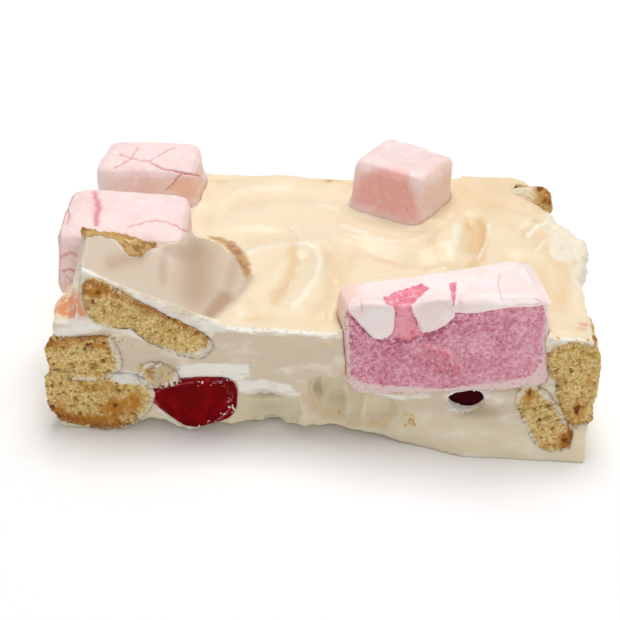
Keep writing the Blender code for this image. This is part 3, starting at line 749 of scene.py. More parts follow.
class SliceLooks(bpy.types.PropertyGroup):
    """The colours and sizes of the slice."""

    glaze: colour_property("Glaze", "The poured top", (0.95, 0.885, 0.765))
    # A warm tone of the top's valleys, partly painted shade there, with painted shade toward the back and a
    # darker tone toward the right
    glaze_warm_and_shade: colour_property("Warm glaze", "The top's valleys and thin places", (0.90, 0.765, 0.585))
    face: colour_property("Cut face", "Upper part of the cut face", (0.86, 0.795, 0.70))
    face_low: colour_property("Low face", "Foot and hollows of the cut face", (0.91, 0.86, 0.745))
    hollow: colour_property("Hollows", "Smooth hollows of the cut face", (0.915, 0.88, 0.765))
    hollow_shade: colour_property("Deep hollows", "Shaded upper part of the hollows", (0.735, 0.675, 0.56))
    # Also the colour of painted light at the foot of the right hollow
    scrape: colour_property("Scrapes", "Crumbly white chocolate along cuts", (0.97, 0.945, 0.90))
    coat: colour_property("Coat", "Thin chocolate over the leaning biscuit", (0.84, 0.77, 0.69))
    # Darker coat where the biscuit shows through, and painted shade
    coat_dark: colour_property("Dark coat", "Where the biscuit shows through its coat", (0.735, 0.62, 0.51))
    caramel: colour_property("Bare biscuit", "Biscuit that stands out of its coat", (0.78, 0.62, 0.38))
    arc: colour_property("Coated edge", "Edge of the leaning biscuit", (0.66, 0.47, 0.32))
    crag: colour_property("Broken corner", "Broken chocolate at the back right", (0.945, 0.90, 0.815))
    smear: colour_property("Smear", "Marshmallow colour in the chocolate", (0.915, 0.61, 0.44))
    skin: colour_property("Marshmallow skin", "Pale pink skin", (0.97, 0.87, 0.855))
    skin_deep: colour_property("Deep skin", "Skin in shade, cracks and tears", (0.90, 0.56, 0.60))
    skin_peach: colour_property("Peach skin", "Skin stained by the glaze", (0.955, 0.80, 0.73))
    foam: colour_property("Foam", "Cut inside of the marshmallow", (0.875, 0.575, 0.65))
    # Also the colour of the painted shadow under the skin sheets
    foam_dark: colour_property("Dark foam", "Pores of the foam", (0.70, 0.36, 0.46))
    torn: colour_property("Torn foam", "Torn foam between the flaps", (0.965, 0.56, 0.63))
    biscuit: colour_property("Biscuit", "Broken biscuit", (0.965, 0.845, 0.565))
    crust: colour_property("Crust", "Browned biscuit", (0.75, 0.49, 0.20))
    cherry: colour_property("Cherry", "Cut glace cherry", (0.44, 0.0, 0.015))
    pocket_fill: amount_property("Pocket fill", "How far pieces swell in pockets, in mm", 0.42, 0.0, 1.0)
    rim_fill: amount_property("Rim fill", "How much more a cut face's rim spreads, in mm", 0.6, 0.0, 1.5)
    sheet_thickness: amount_property("Skin sheets", "Thickness of the torn skin, in mm", 0.95, 0.3, 2.0)
    block_cell: amount_property("Block detail", "Cell size of the block's mesh, in mm", 0.54, 0.3, 2.0)
    piece_cell: amount_property("Piece detail", "Cell size of the pieces' meshes, in mm", 0.25, 0.15, 1.0)


class StageLooks(bpy.types.PropertyGroup):
    """The floor and the lights."""

    floor: colour_property("Floor", "The floor's colour", (0.985, 0.985, 0.985))
    key_power: amount_property("Key light", "Watts of the light from above and behind", 5.3, 0.0, 50.0)
    fill_power: amount_property("Fill light", "Watts of the light from the front", 1.1, 0.0, 50.0)
    sky: amount_property("Sky", "Strength of the white surroundings", 0.46, 0.0, 5.0)


def chocolate_finish(looks):
    """Glossy cream glaze on top, satin ivory where it was cut, with the pieces' colours showing through."""
    shader = Shader("white_chocolate")
    broad = shader.clouds(9)
    fine = shader.clouds(1.1)
    cut = shader.mask("cut")
    marbled = shader.clouds(5, detail=5, roughness=0.6, stretch=(1.0, 0.55, 1.0))
    frost = shader.clouds(3.2, detail=5, roughness=0.6, stretch=(0.45, 1.0, 1.0))
    streaks = shader.clouds(1.6, detail=5, roughness=0.65, stretch=(1.0, 1.0, 0.35))
    scraped = (shader.clouds(0.8, stretch=(0.3, 1.0, 1.0)) - 0.5) * 1.5 + (frost - 0.5) * 1.6
    # Pale crests and painted highlights of the top
    light = shader.ragged("light", 0.3, 1.25, (marbled, 1.3))
    white = shader.step(shader.mask("white") * (scraped + 1.0), 0.25, 0.95)
    bare = shader.ragged("bare", 0.35, 0.6, (fine, 0.28))
    # The coat, darker where the biscuit shows through and with painted shade
    coat = shader.blend(looks.coat, looks.coat_dark, shader.ragged("coat_dark", 0.1, 0.9, (broad, 0.3)))
    edge = shader.blend(looks.arc, looks.caramel, shader.step(shader.clouds(2.0, detail=5), 0.42, 0.62))
    face = shader.layers(
        looks.face,
        (looks.face_low, shader.ragged("low", 0.1, 0.9, (broad, 0.5))),
        ("frost", shader.step(frost, 0.50, 0.72) * 0.75),
        ("dull_face", shader.step(frost, 0.48, 0.30) * 0.6),
        (looks.hollow, shader.mask("hollow") * 0.8),
        (looks.hollow_shade, shader.ragged("shade", 0.05, 1.1, (fine, 0.21))),
    )
    crumb = shader.layers(
        looks.caramel,
        ("bare_dark", shader.step(shader.clouds(1.5, detail=6), 0.44, 0.60)),
        ("bare_light", shader.step(fine, 0.54, 0.72)),
    )
    colour = shader.layers(
        looks.glaze,
        # Warm tone of the valleys, partly painted shade, and painted shade toward the back
        (looks.glaze_warm_and_shade, shader.ragged("warm", 0.05, 1.15, (broad, 0.5), (marbled, 0.55))),
        ("crest_and_highlight", light),
        (coat, shader.mask("coat")),
        (face, cut),
        (looks.crag, shader.ragged("broken", 0.25, 0.75, (fine, 0.7))),
        ("yellow_spot", shader.ragged("yellow", 0.2, 1.1, (fine, 0.42))),
        (looks.smear, shader.step(shader.mask("pink") * (streaks * 5.0 - 1.5), 0.1, 1.0)),
        (looks.scrape, white),
        (crumb, bare),
        (edge, shader.ragged("arc", 0.15, 1.1, (fine, 0.245))),
        ("brown_spot", shader.ragged("brown", 0.3, 0.9, (fine, 0.35))),
    )
    rough = 0.25 - light * 0.06 + cut * 0.25 + white * 0.25 + bare * 0.3 + shader.mask("broken") * 0.15
    knife = shader.clouds(0.9, detail=4, stretch=(0.18, 1.0, 1.0))
    relief = fine * (0.12 + white * 0.6 + bare * 0.8 + cut * 0.15) + knife * cut * 0.35
    relief = relief + shader.clouds(0.35) * (0.05 + white * 0.25)
    return shader.finish(
        colour, rough, relief, 0.35,
        scatter=(0.35, (1.0, 0.75, 0.5), 1.6),
        Specular_IOR_Level=0.32, IOR=1.46,
    )


def skin_finish(looks):
    """Soft pink marshmallow skin with fine cracks and a thin stain of glaze."""
    shader = Shader("marshmallow_skin")
    broad = shader.clouds(7)
    fine = shader.clouds(0.5, detail=5)
    gloss = shader.mask("gloss")
    speckle = shader.step(shader.clouds(1.3, detail=6, roughness=0.65), 0.50, 0.68)
    colour = shader.layers(
        looks.skin,
        ("skin_cloud", shader.step(broad, 0.4, 0.75)),
        ("skin_dust", shader.step(shader.clouds(1.4, detail=6), 0.52, 0.72) * 0.6),
        (looks.skin_peach, shader.ragged("peach", 0.1, 0.9, (broad, 0.4))),
        # Salmon patches: painted shade on the front left marshmallow's left side, partly painted shade on
        # the back right one's front
        ("skin_shade", shader.ragged("salmon", 0.1, 1.1, (shader.clouds(2.6, detail=4), 0.7), (fine, 0.3))),
        (looks.skin_deep, shader.mask("crack")),
        ("skin_ridge", shader.mask("pale")),
        # Pale speckles on glossy skin: dust and painted glints
        ("skin_speckle_and_glint", speckle * gloss * 0.35),
    )
    return shader.finish(
        colour, 0.62 - gloss * 0.34, fine * 0.5 + shader.clouds(0.18) * 0.3, 0.12,
        scatter=(0.35, (1.0, 0.6, 0.6), 1.8), IOR=1.4,
    )


def foam_finish(looks):
    """The magenta inside of a cut marshmallow, with skin on what wasn't cut."""
    shader = Shader("marshmallow_foam")
    pores = shader.cells(0.55)
    fine = shader.clouds(0.6, detail=5, roughness=0.75)
    broad = shader.clouds(5)
    tone = (broad - 0.5) * 0.35 + (shader.mask("tone") - 0.5) * 0.07
    shreds = shader.clouds(1.1, detail=5, roughness=0.7)
    torn = shader.layers(
        looks.torn,
        ("shred_light", shader.step(shreds, 0.48, 0.68)),
        ("shred_dark", shader.step(shreds, 0.47, 0.30)),
    )
    foam = shader.layers(
        looks.foam,
        ("foam_light", shader.step(fine + tone, 0.47, 0.66)),
        # Dark pores, and painted shadow along the lines under the skin sheets
        (looks.foam_dark, shader.step(fine + tone - shader.mask("rim") * 0.14, 0.49, 0.31)),
        (torn, shader.ragged("torn", 0.3, 0.8, (fine, 0.8))),
        # Painted light in the torn foam, and the pale line beside the tears
        ("foam_painted_light", shader.ragged("glow", 0.3, 0.8, (fine, 0.7)) * 0.8),
        ("foam_fringe", shader.ragged("fringe", 0.45, 1.05, (fine, 1.3), (shreds, 0.9))),
    )
    skin = shader.layers(
        "sheet",
        ("sheet_light", shader.step(broad, 0.4, 0.65)),
        (looks.skin_deep, shader.mask("crack")),
        (looks.skin_peach, shader.mask("peach")),
    )
    covered = shader.mask("skin")
    colour = shader.blend(foam, skin, shader.ragged("skin", 0.4, 0.6, (fine, 0.25)))
    relief = (1 - covered) * (pores * 0.5 + fine) + fine * 0.1
    return shader.finish(
        colour, 0.75 - covered * 0.15, relief, 0.22,
        scatter=(0.3, (1.0, 0.5, 0.6), 1.4), IOR=1.4,
    )


def biscuit_finish(looks):
    """Dry, porous biscuit with browned crust."""
    shader = Shader("biscuit")
    fine = shader.clouds(0.45, detail=6, roughness=0.75)
    broad = shader.clouds(3.0)
    speck = shader.clouds(1.6, detail=6, roughness=0.7)
    level = shader.mask("relief") + (fine - 0.5) * 1.7
    grain = shader.cells(0.6) * 0.6 + (fine - 0.5) * 2.8 + 0.22
    browned = shader.blend(looks.crust, "crust_dark", shader.step(speck, 0.5, 0.7))
    smear = shader.blend(looks.glaze, looks.scrape, shader.step(speck, 0.38, 0.60) * 0.8)
    colour = shader.layers(
        looks.biscuit,
        ("biscuit_cloud", shader.step(broad, 0.4, 0.65)),
        ("grain_dark", shader.step(grain, 0.46, 0.90) * 0.9),
        ("grain_light", shader.step(grain, 0.42, 0.14) * 0.8),
        # Painted shade in the biscuit's low places and in its pores
        ("low_grain_shade", shader.step(level, 0.40, 0.0)),
        ("pore", shader.mask("pore") * 0.55),
        ("toast", shader.ragged("toast", 0.15, 0.8, (speck, 1.6), (fine, 0.8))),
        (browned, shader.ragged("crust", 0.42, 1.0, (fine, 1.1), (speck, 1.7))),
        ("burnt", shader.ragged("dark", 0.5, 1.0, (fine, 1.2))),
        (looks.face, shader.ragged("smeared", 0.45, 0.8, (speck, 1.5), (fine, 0.6)) * 0.9),
        (looks.glaze, shader.mask("glazed")),
        (smear, shader.ragged("covered", 0.3, 0.7, (fine, 1.2))),
        (looks.scrape, shader.ragged("white", 0.2, 0.6, (fine, 0.8))),
    )
    return shader.finish(
        colour, 0.85, fine + shader.cells(0.4) * 0.6, 0.3,
        scatter=(0.1, (1.0, 0.7, 0.4), 0.8), IOR=1.4,
    )


def cherry_finish(looks):
    """Wet dark red cherry flesh."""
    shader = Shader("cherry")
    broad = shader.clouds(4)
    fine = shader.clouds(0.7)
    scratch = shader.clouds(0.55, detail=4, roughness=0.7, stretch=(0.45, 1.0, 1.0))
    colour = shader.layers(
        looks.cherry,
        ("cherry_light", shader.step(broad, 0.45, 0.75)),
        ("cherry_rim", shader.step(shader.mask("rim") * (scratch * 2.0), 0.2, 1.1) * 0.8),
        ("cherry_deep", shader.mask("deep")),
        ("cherry_dust", shader.ragged("dust", 0.85, 1.45, (scratch, 3.0)) * 0.85),
    )
    return shader.finish(
        colour, 0.3, broad * 0.5 + fine * 0.35, 0.2,
        scatter=(0.15, (1.0, 0.1, 0.1), 1.0),
        Specular_IOR_Level=0.04,
    )


def flake_finish(name, colour, shade):
    """Small dry bits of one colour."""
    shader = Shader(name)
    fine = shader.clouds(0.5)
    mixed = shader.blend(colour, shade, shader.step(fine, 0.4, 0.7))
    return shader.finish(
        mixed, 0.6, fine, 0.1,
        scatter=(0.3, (1.0, 0.8, 0.6), 1.0),
    )


def floor_finish(colour):
    shader = Shader("floor")
    faint = shader.clouds(400)
    tone = shader.blend(colour, [0.995 * c for c in colour], faint)
    return shader.finish(tone, 0.9, Specular_IOR_Level=0.0)


def tree_of(piece):
    """A search tree of a piece's surface, in metres."""
    return BVHTree.FromObject(piece, bpy.context.evaluated_depsgraph_get())


def distance_from(points, ground, reach):
    """How far points are from an object's surface, in millimetres, up to a reach."""
    corners = np.array([vertex[:] for vertex in ground.bound_box]) / MM
    close = np.all((points > corners.min(axis=0) - reach) & (points < corners.max(axis=0) + reach), axis=1)
    away = np.full(len(points), float(reach))
    tree = tree_of(ground)
    for index in np.flatnonzero(close):
        found = tree.find_nearest(Vector(points[index] * MM), reach * MM)
        if found[3] is not None:
            away[index] = found[3] / MM
    return away


def shape_coat(skin):
    """Flattens the leaning biscuit's coat. Returns masks of coat, darker places (biscuit showing through,
    and painted shade), bare biscuit and edge.
    """
    x, y, z = skin.points.T
    depth = depth_inside(x, y, COAT_PLAN)
    up = soft(skin.normals[:, 2], 0.3, 0.7) * soft(z, TOP_Z + 1.2, TOP_Z + 2.2)
    plane = COAT_POINT[2] + COAT_SLOPE_X * (x - COAT_POINT[0]) + COAT_SLOPE_Y * (y - COAT_POINT[1])
    plane += 0.12 * ripples(skin.points, 5.0, 1.0)
    flat = up * soft(depth, -1.2, 0.2) * soft(z - plane, -3.2, -1.8)
    skin.shift(2, flat * np.maximum(plane - z, -0.6))
    line, width, rise = CORNER_RIDGE
    ridge = rise * np.exp(-((distance_to_line(x, y, line) / width) ** 2)) * soft(x, -33.0, -27.5)
    skin.shift(2, ridge * soft(skin.normals[:, 2], 0.0, 0.5) * soft(z, TOP_Z + 0.5, TOP_Z + 2.0))
    bare = skin.patch(BARE_RIDGE, 1.6) * soft(skin.points[:, 2], 30.0, 31.5)
    arc = skin.patch(BROWN_ARC, 4.0)
    crumbs = 0.35 * ripples(skin.points, 1.2, 1.0) + 0.3 * (0.5 - grains(skin.points, 0.9, 2.0))
    skin.push(bare * (0.25 + crumbs) + arc * 0.15)
    coat = soft(depth, -1.6, -0.6) * soft(z, TOP_Z + 0.9, TOP_Z + 1.9)
    return coat, skin.lines(COAT_SHADE), bare, arc


def shape_top(skin):
    """Swirls of the poured top, and the chocolate drawn up against the marshmallows."""
    x, y, z = skin.points.T
    up = soft(skin.normals[:, 2], 0.2, 0.6) * soft(z, 21.0, 22.5)
    coat = soft(depth_inside(x, y, COAT_PLAN), -2.5, -0.5)
    height = np.zeros(len(x))
    for points, width, rise in SWIRLS:
        height += rise * np.exp(-((distance_to_line(x, y, points) / (SWIRL_SPREAD * width)) ** 2))
    flattened = skin.points * (1, 1, 0.2)
    height += 0.16 * ripples(flattened, 6.5, 4.0) + 0.03 * ripples(flattened, 2.4, 4.0)
    height = skin.averaged(height, 6)
    # Pale crests and painted highlights, which also raise the top a little
    light = skin.lines(PALE_CRESTS_AND_HIGHLIGHTS) * up * (1 - coat)
    height += LIGHT_RISE * light
    skin.shift(2, up * (1 - coat) * height)
    meniscus = np.zeros(len(x))
    for node, rise in DRAWN_UP.items():
        away = distance_from(skin.points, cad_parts[node], 4.0)
        meniscus = np.maximum(meniscus, rise * np.exp(-((away - 0.3).clip(0) / 1.1) ** 1.5))
    skin.shift(2, up * (1 - coat) * meniscus)
    return light


def shape_face(skin):
    """The cut face's hollows, folds, scrapes and ragged foot."""
    face = soft(-skin.normals[:, 1], 0.3, 0.6) * soft(-skin.points[:, 1], 24.0, 26.0)
    left = depth_inside(skin.u, skin.v, LEFT_HOLLOW)
    right = depth_inside(skin.u, skin.v, RIGHT_HOLLOW)
    push = LEFT_HOLLOW_DEPTH * soft(left, -0.8, 3.5) + RIGHT_HOLLOW_DEPTH * soft(right, -0.8, 4.0)
    folds = np.zeros(len(face))
    for fold in HOLLOW_FOLDS:
        folds += FOLD_RISE * skin.near(fold, FOLD_WIDTH_PX)
    hollow = face * np.maximum(soft(left, -1.0, 3.0), soft(right, -1.0, 3.0))
    push += 0.10 * ripples(skin.points * (0.12, 1, 1), 0.9, 2.0) + 0.08 * ripples(skin.points, 1.6, 7.0)
    x, y, z = skin.points.T
    deep = soft(-skin.normals[:, 1], 0.2, 0.5) * soft(-y, 10.0, 14.0) * soft(21.0 - z, 0.0, 2.0)
    skin.shift(1, face * push - np.maximum(face, deep) * folds)
    x, y, z = skin.points.T
    foot = soft(5.0 - z, 0.0, 4.0) * soft(-y, 24.0, 27.0) * soft(z, 0.15, 0.8)
    upright = skin.points * (1, 0.3, 0.1)
    ragged = 0.7 * ripples(upright, 1.5, 3.0) + 0.5 * ripples(upright, 3.4, 6.0)
    skin.shift(2, foot * ragged * soft(x, -38, -34) * soft(12 - x, 0, 6))
    return hollow


def shape_crag(skin):
    """The broken corner at the back right, and rough broken sides where the slice was snapped."""
    x, y, z = skin.points.T
    broken = soft(x, 41.0, 45.0) * soft(y, -3.0, 3.0) * soft(26.5 - y, 0.0, 3.0) * soft(z, 9.0, 14.0)
    broken = np.maximum(broken, 0.9 * soft(x, 46.0, 48.0) * soft(z, 16.0, 19.0) * soft(y, -12.0, -4.0))
    side = soft(np.abs(skin.normals[:, 0]), 0.5, 0.8) * soft(np.abs(x), 40, 44)
    side = np.maximum(side, soft(skin.normals[:, 1], 0.5, 0.8) * soft(y, 26, 29)) * soft(z, 0.5, 2.5)
    crumbs = 0.5 - grains(skin.points, 1.1, 5.0)
    rough = 0.9 * ripples(skin.points, 3.4, 3.0) + 0.5 * ripples(skin.points, 1.5, 4.0) + 0.35 * crumbs
    skin.push(broken * rough + side * (1 - broken) * (0.35 * ripples(skin.points, 2.6, 9.0) + 0.1 * crumbs))
    return broken


def make_chocolate(looks):
    """The poured block."""
    piece = remeshed("chocolate", looks.block_cell)
    skin = Skin(piece)
    x, y, z = skin.points.T
    top = soft(skin.normals[:, 2], 0.0, 0.5) * soft(z, 21.0, 23.0)
    top *= soft(y, CUT_FACE_Y + 0.6, CUT_FACE_Y + 2.4)
    floor_edge = soft(z, 0.1, 1.2)
    tent = soft(z, 26.5, 28.0) * (x < -10) * (y < -10)
    skin.relax(14, 0.15 * floor_edge * (1 - top) + 0.45 * top * (1 - 0.93 * tent))
    light = shape_top(skin)
    hollow = shape_face(skin)
    broken = shape_crag(skin)
    coat, dark, bare, arc = shape_coat(skin)
    x, y, z = skin.points.T
    below = np.maximum(soft(TOP_Z + 2.2 - z, 0.0, 1.4), soft(-16.0 - x, 0.0, 1.0))
    reached = np.maximum(soft(-y, 24.0, 26.5), soft(-y, 8.0, 12.0) * soft(22.0 - z, 0.0, 1.0))
    cut = soft(-skin.normals[:, 1], 0.35, 0.65) * reached * below
    level = skin.averaged(z, 60)
    # Warm tone in the valleys, partly painted shade; darker toward the right; painted shade toward the back
    warm = soft(level - z, -0.05, 0.75) * 0.7 + 0.3 * soft(skin.u, 320.0, 470.0) + 0.25 * soft(y, 8.0, 28.0)
    streaks = [(line, 1.5 * width, 0.85 * strength) for line, width, strength in WARM_STREAKS]
    warm = np.maximum(warm, skin.lines(streaks))
    # White scrapes and rims, with one line of painted light at the foot of the right hollow
    white = skin.lines(WHITE_LINES)
    for outline in WHITE_PATCHES:
        white = np.maximum(white, skin.patch(outline, 3.0))
    rim = np.exp(-(((y - CUT_FACE_Y - 0.2) / 1.0) ** 2)) * soft(z, TOP_Z - 1.6, TOP_Z - 0.6) * 0.7
    pink = np.maximum(skin.patch(ORANGE_SMEAR, 4.0), skin.spots(PINK_SPOTS))
    white = np.maximum(np.maximum(white, rim) * (1 - coat), 0.8 * skin.patch(COAT_RIM, 2.0))
    skin.paint(
        cut=cut, low=soft(12.0 - z, 0.0, 9.0), hollow=hollow, shade=skin.spots(HOLLOW_SHADE) * cut,
        warm=warm, light=light, white=white, coat=coat * (1 - cut), coat_dark=dark, bare=bare, arc=arc,
        broken=broken, pink=pink, yellow=skin.spots(YELLOW_SPOTS), brown=skin.spots(BROWN_SPOTS),
    )
    finish_piece(piece, "chocolate", chocolate_finish(looks))


def crack_masks(skin, node):
    """Cracks that show, with a few more on the hidden side, and pale ridges, whose strength is negative."""
    marks = CRACKS.get(node, ())
    cracks = skin.lines(marks)
    pale = skin.lines([(line, width, -strength) for line, width, strength in marks])
    hidden = 1 - skin.shown
    wander = np.abs(ripples(skin.points, 8.0, float(len(node))))
    gate = soft(ripples(skin.points, 6.0, 3.0 + len(node)), 0.15, 0.4)
    cracks = np.maximum(cracks, 0.55 * hidden * gate * soft(0.02 - wander, 0.0, 0.015))
    return cracks, pale


def make_marshmallow(node, looks, finish):
    """A whole marshmallow, with its skin cracked where it was bent."""
    piece = remeshed(node, looks.piece_cell)
    skin = Skin(piece)
    skin.relax(8, 0.5)
    skin.fill(looks.pocket_fill)
    creases = np.exp(-((ripples(skin.points, 7.0, 3.0) / 0.035) ** 2))
    creases *= soft(ripples(skin.points, 5.0, 8.0), -0.1, 0.3)
    dents = 0.26 * ripples(skin.points, 4.2, 1.0) + 0.09 * ripples(skin.points, 1.7, 2.0)
    skin.push(dents + 0.035 * ripples(skin.points, 0.7, 5.0) - 0.12 * creases)
    cracks, pale = crack_masks(skin, node)
    skin.push(-0.35 * cracks + 0.12 * pale)
    z = skin.points[:, 2]
    glazed = node == "marshmallow_back_right"
    peach = salmon = np.zeros(len(z))
    if node == "marshmallow_back_left":
        peach = np.maximum(skin.patch(PEACH_STAIN, 5.0), 0.15 * skin.near(PEACH_EDGE, 6.0))
        peach = np.maximum(peach, 0.5 * soft(26.0 - z, 0.0, 2.0))
    elif glazed:
        # A salmon patch on the front, partly its own colour and partly painted shade
        salmon = skin.patch(SALMON_SHADE, 9.0)
        peach = 0.5 * soft(skin.normals[:, 0], 0.2, 0.7)
        peach = np.maximum(peach, 0.12 * soft(skin.normals[:, 2], 0.6, 0.9))
    else:
        # Painted shade on the side that faces left
        salmon = 0.8 * soft(-skin.normals[:, 0], 0.35, 0.8)
        peach = 0.4 * soft(25.5 - z, 0.0, 2.0)
    gloss = np.full(len(z), 0.9 if glazed else 0.12)
    skin.paint(crack=cracks, pale=pale, peach=peach, salmon=salmon, gloss=gloss)
    finish_piece(piece, node, finish)


def make_cut_marshmallow(looks):
    """The marshmallow that the knife went through, with torn skin over its foam."""
    node = "marshmallow_cut"
    piece = remeshed(node, looks.piece_cell)
    skin = Skin(piece, 0.8)
    skin.relax(2, 0.4)
    x, y, z = skin.points.T
    flap = soft(CUT_FACE_Y - 0.45 - y, 0.0, 0.25)
    face = soft(-skin.normals[:, 1], 0.5, 0.8) * soft(-y, 29.0, 29.6)
    cut = face * (1 - flap)
    skin.fill(looks.pocket_fill, 0.0, FLAP_CLEAR_Z, hold=flap)
    skin.shift(1, -0.25 * cut)
    torn = np.maximum(skin.patch(TORN_ZONE, 2.0), skin.patch(TORN_SLIT, 1.2)) * (1 - flap)
    tears = skin.lines(FOAM_TEARS) * cut
    pale = skin.near(*FOAM_PALE) * cut
    near = grains(skin.points, 0.8, 1.0)
    foam = 0.16 * ripples(skin.points, 2.4, 3.0) + 0.1 * ripples(skin.points, 0.7, 4.0)
    foam -= 0.22 * (0.45 - near).clip(0)
    fibres = 0.12 * ripples(skin.points * (1.0, 1.0, 0.3), 0.9, 8.0) * soft(22.0 - z, 0.0, 5.0)
    shreds = 0.4 * ripples(skin.points, 1.6, 5.0) + 0.2 * ripples(skin.points, 0.8, 6.0)
    skin.push(cut * (foam + fibres) - (0.2 - 2.0 * foam - shreds) * torn - 0.5 * tears + 0.3 * pale)
    cracks, _ = crack_masks(skin, node)
    skin.push(-0.2 * cracks)
    x, y, z = skin.points.T
    smear = soft(-depth_inside(skin.u, skin.v, FOAM_SHOWN), -2.0, 3.0) * skin.shown
    tone = 0.5 + 0.5 * soft(skin.u, 430, 520) + 0.3 * soft(skin.v, 370, 386)
    skin.paint(
        skin=np.maximum(1 - face, flap) * (1 - torn),
        torn=np.maximum(torn, 0.8 * tears),
        # Painted light in the torn foam's middle, and the pale line beside the tears
        glow=np.maximum(skin.spots(TORN_PAINTED_LIGHT) * cut, 0.6 * pale),
        fringe=cut * np.maximum(0.8 * skin.near(FOAM_RIM, 5.0), smear),
        # Painted shadow in the foam under the skin sheets' lower edges
        rim=cut * skin.lines(FOAM_SHADOW_UNDER_SHEETS),
        crack=cracks,
        tone=tone - skin.spots(FOAM_SHADE),
        peach=0.7 * soft(9.0 - x, 0.0, 4.0) * (1 - flap),
    )
    finish_piece(piece, node, foam_finish(looks))


def sheet_mesh(outline, step):
    """A mesh that fills an outline in pixels, its rim drawn onto the outline."""
    left, right = min(u for u, _ in outline), max(u for u, _ in outline)
    top, bottom = min(v for _, v in outline), max(v for _, v in outline)
    columns = int((right - left) / step) + 3
    rows = int((bottom - top) / step) + 3
    u, v = np.meshgrid(left - step + step * np.arange(columns), top - step + step * np.arange(rows))
    u, v = u.ravel(), v.ravel()
    index = np.arange(len(u)).reshape(rows, columns)
    cells = np.stack((index[:-1, :-1], index[1:, :-1], index[1:, 1:], index[:-1, 1:]), -1).reshape(-1, 4)
    middle_u, middle_v = u[cells].mean(1), v[cells].mean(1)
    cells = cells[depth_inside(middle_u, middle_v, outline) > 0]
    used, cells = np.unique(cells, return_inverse=True)
    u, v = u[used], v[used]
    cells = cells.reshape(-1, 4)
    sides = np.sort(np.concatenate([cells[:, [k, (k + 1) % 4]] for k in range(4)]), axis=1)
    edges, counts = np.unique(sides, axis=0, return_counts=True)
    rim = np.unique(edges[counts == 1])
    u[rim], v[rim], _ = nearest_on_line(u[rim], v[rim], (*outline, outline[0]))
    return u, v, cells


def make_skin_sheet(number, outline, ground, thickness, finish):
    """A torn sheet of skin that follows the marshmallow under it and curls off at its lower rim."""
    u, v, cells = sheet_mesh(outline, 1.1)
    eye = Vector(VIEW_EYE * MM)
    rays = [ray_through(pixel_u, pixel_v) for pixel_u, pixel_v in zip(u, v)]
    hits = [ground.ray_cast(eye, ray)[3] for ray in rays]
    reach = np.array([np.nan if hit is None else hit / MM for hit in hits])
    for k in np.flatnonzero(np.isnan(reach)):
        away = np.hypot(u - u[k], v - v[k])
        away[np.isnan(reach)] = np.inf
        reach[k] = reach[np.argmin(away)]
    mesh = bpy.data.meshes.new(f"skin_sheet_{number}")
    mesh.from_pydata(np.zeros((len(u), 3)), [], cells.tolist())
    piece = link(f"skin_sheet_{number}", mesh)
    skin = Skin(piece, 0.0)
    depth = skin.averaged(reach, 40)
    skin.points = VIEW_EYE + np.array(rays) * depth[:, None]
    low = soft(v, np.percentile(v, 35), v.max())
    skin.points += VIEW_BACK * (0.12 + 0.7 * low + 0.15 * ripples(skin.points, 3.0, 5.0))[:, None]
    skin.write()
    apply_modifier(piece, "SOLIDIFY", thickness=thickness * MM, offset=-1.0, use_even_offset=True)
    apply_modifier(
        piece, "BEVEL", width=0.13 * MM, segments=2, limit_method="ANGLE", angle_limit=math.radians(50)
    )
    skin = Skin(piece, 0.0)
    skin.push(0.07 * ripples(skin.points, 1.2, 3.0) + 0.05 * ripples(skin.points, 0.5, 6.0))
    cracks, _ = crack_masks(skin, "marshmallow_cut")
    skin.paint(crack=cracks, skin=np.ones(len(skin.u)))
    bpy.ops.object.shade_smooth_by_angle(angle=math.radians(45))
    finish_piece(piece, None, finish)


def make_skin_sheets(looks):
    """The torn sheets of skin over the cut marshmallow's flaps."""
    under = remeshed("marshmallow_cut", looks.piece_cell)
    Skin(under).relax(2, 0.4)
    ground = tree_of(under)
    bpy.data.objects.remove(under, do_unlink=True)
    finish = bpy.data.objects["marshmallow_cut_piece"].active_material
    for number, outline in enumerate(SKIN_SHEETS, 1):
        make_skin_sheet(number, outline, ground, looks.sheet_thickness, finish)


